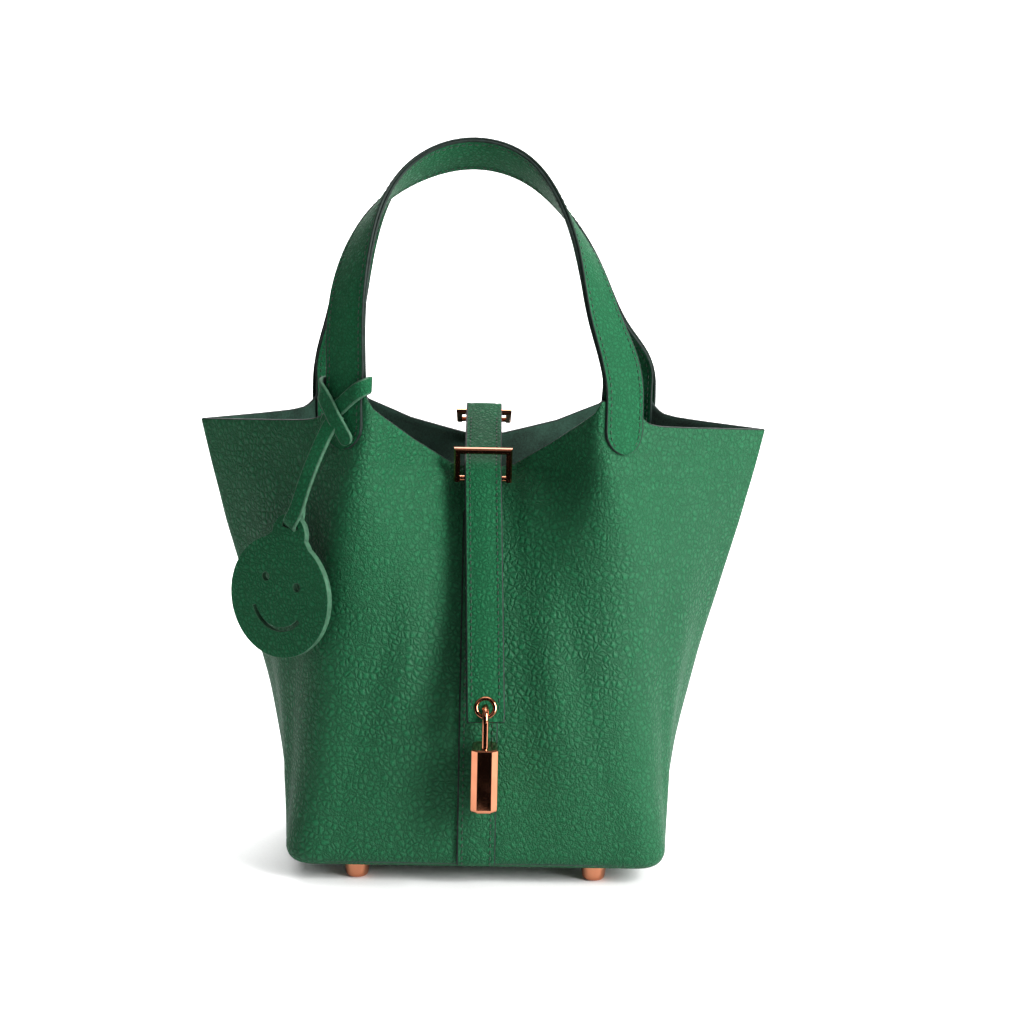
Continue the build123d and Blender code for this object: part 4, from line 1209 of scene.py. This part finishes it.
def colour_setting(name, description, default):
    return bpy.props.FloatVectorProperty(name=name, description=description, default=default,
                                         subtype="COLOR",
                                         size=3, min=0, max=1)


def length_setting(name, description, default):
    return bpy.props.FloatProperty(name=name, description=description, default=default, min=0.0002,
                                   subtype="DISTANCE", unit="LENGTH", precision=4)


def light_setting(name, description, default):
    return bpy.props.FloatProperty(name=name, description=description, default=default, min=0)


class BucketBagSettings(bpy.types.PropertyGroup):
    leather_colour: colour_setting("Leather", "Colour of the grained leather", (0.0058, 0.104, 0.038))
    suede_colour: colour_setting("Suede", "Colour of the inner side of the leather", (0.012, 0.034, 0.023))
    edge_colour: colour_setting("Edge paint", "Colour of the sealed edges", (0.006, 0.013, 0.010))
    raw_edge_colour: colour_setting("Raw edge", "Colour of the charm's and thong's cut edges",
                                    (0.03, 0.085, 0.048))
    metal_colour: colour_setting("Metal", "Colour of the plated fittings", (0.62, 0.24, 0.13))
    thread_colour: colour_setting("Thread", "Colour of the stitching", (0.005, 0.032, 0.013))
    grain_size: length_setting("Grain size", "Width of one pebble of the grain", 0.0024)
    stitch_pitch: length_setting("Stitch pitch", "Length from one stitch to the next", 0.0028)
    leather_thickness: length_setting("Wall thickness", "Thickness of the bag's wall", 0.002)
    handle_width: length_setting("Handle width", "Width of a handle strip", 0.020)
    strap_width: length_setting("Strap width", "Width of the closing strap",
                                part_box("strap_bridge")[1].x * 2)
    thong_width: length_setting("Thong width", "Width of the charm's thong", 0.007)
    key_energy: light_setting("Key light", "Watts of the large light at the right", 54.0)
    top_energy: light_setting("Top light", "Watts of the light overhead", 12.0)
    fill_energy: light_setting("Fill light", "Watts of the light at the left", 0.3)
    sweep_energy: light_setting("Background light", "Watts of the light on the background", 150.0)
    air_strength: light_setting("Air", "Strength of the even light all round", 0.26)


class BUCKETBAG_OT_build_stage(bpy.types.Operator):
    """Lay the paper sweep and set the lights and the camera"""
    bl_idname = "bucket_bag.build_stage"
    bl_label = "Stage"

    def execute(self, context):
        build_stage()
        return {"FINISHED"}


class BUCKETBAG_OT_sew_body(bpy.types.Operator):
    """Shape the leather shell with its pinched mouth and standing ears"""
    bl_idname = "bucket_bag.sew_body"
    bl_label = "Body"

    def execute(self, context):
        build_body(finishes())
        return {"FINISHED"}


class BUCKETBAG_OT_lay_base(bpy.types.Operator):
    """Lay the base leather and its suede lining, and fit the four feet"""
    bl_idname = "bucket_bag.lay_base"
    bl_label = "Base"

    def execute(self, context):
        build_base(finishes())
        return {"FINISHED"}


class BUCKETBAG_OT_sew_strips(bpy.types.Operator):
    """Sew the bands over the front and back seams"""
    bl_idname = "bucket_bag.sew_strips"
    bl_label = "Seam Strips"

    def execute(self, context):
        build_strips(finishes())
        return {"FINISHED"}


class BUCKETBAG_OT_sew_handles(bpy.types.Operator):
    """Bend the two arched handles and sew their round ends to the ears"""
    bl_idname = "bucket_bag.sew_handles"
    bl_label = "Handles"

    def execute(self, context):
        build_handles(finishes())
        return {"FINISHED"}


class BUCKETBAG_OT_thread_strap(bpy.types.Operator):
    """Fold the strap round the rear ring and hang it through the front ring"""
    bl_idname = "bucket_bag.thread_strap"
    bl_label = "Closing Strap"

    def execute(self, context):
        build_strap(finishes())
        return {"FINISHED"}


class BUCKETBAG_OT_fit_rings(bpy.types.Operator):
    """Wrap the leather tabs round the pins of the two rings"""
    bl_idname = "bucket_bag.fit_rings"
    bl_label = "Rings"

    def execute(self, context):
        build_rings(finishes())
        return {"FINISHED"}


class BUCKETBAG_OT_set_eyelet(bpy.types.Operator):
    """Set the eyelet in the tail of the strap"""
    bl_idname = "bucket_bag.set_eyelet"
    bl_label = "Eyelet"

    def execute(self, context):
        build_eyelet(finishes())
        return {"FINISHED"}


class BUCKETBAG_OT_hang_padlock(bpy.types.Operator):
    """Polish the padlock that hangs in the eyelet"""
    bl_idname = "bucket_bag.hang_padlock"
    bl_label = "Padlock"

    def execute(self, context):
        build_padlock(finishes())
        return {"FINISHED"}


class BUCKETBAG_OT_cut_charm(bpy.types.Operator):
    """Cut the round smiling charm"""
    bl_idname = "bucket_bag.cut_charm"
    bl_label = "Charm"

    def execute(self, context):
        build_charm(finishes())
        return {"FINISHED"}


class BUCKETBAG_OT_tie_thong(bpy.types.Operator):
    """Tie the thong round the handle and lead it down to the charm"""
    bl_idname = "bucket_bag.tie_thong"
    bl_label = "Thong"

    def execute(self, context):
        build_thong(finishes())
        return {"FINISHED"}


class BUCKETBAG_PT_workshop(bpy.types.Panel):
    """Sizes, colours and the making of the bag, in order"""
    bl_idname = "BUCKETBAG_PT_workshop"
    bl_label = "Bucket Bag"
    bl_space_type = "VIEW_3D"
    bl_region_type = "UI"
    bl_category = "Bucket Bag"

    def draw(self, context):
        settings = context.scene.bucket_bag
        for key in BucketBagSettings.__annotations__:
            self.layout.prop(settings, key)
        for maker in OPERATORS:
            self.layout.operator(maker.bl_idname)


OPERATORS = (
    BUCKETBAG_OT_build_stage,
    BUCKETBAG_OT_sew_body,
    BUCKETBAG_OT_lay_base,
    BUCKETBAG_OT_sew_strips,
    BUCKETBAG_OT_sew_handles,
    BUCKETBAG_OT_thread_strap,
    BUCKETBAG_OT_fit_rings,
    BUCKETBAG_OT_set_eyelet,
    BUCKETBAG_OT_hang_padlock,
    BUCKETBAG_OT_cut_charm,
    BUCKETBAG_OT_tie_thong,
)
CLASSES = (BucketBagSettings, *OPERATORS, BUCKETBAG_PT_workshop)


def register():
    for cls in CLASSES:
        bpy.utils.register_class(cls)
    bpy.types.Scene.bucket_bag = bpy.props.PointerProperty(type=BucketBagSettings)


def unregister():
    del bpy.types.Scene.bucket_bag
    for cls in reversed(CLASSES):
        bpy.utils.unregister_class(cls)


def main():
    register()
    for maker in OPERATORS:
        getattr(bpy.ops.bucket_bag, maker.bl_idname.split(".")[1])()


if __name__ == "__main__":
    main()
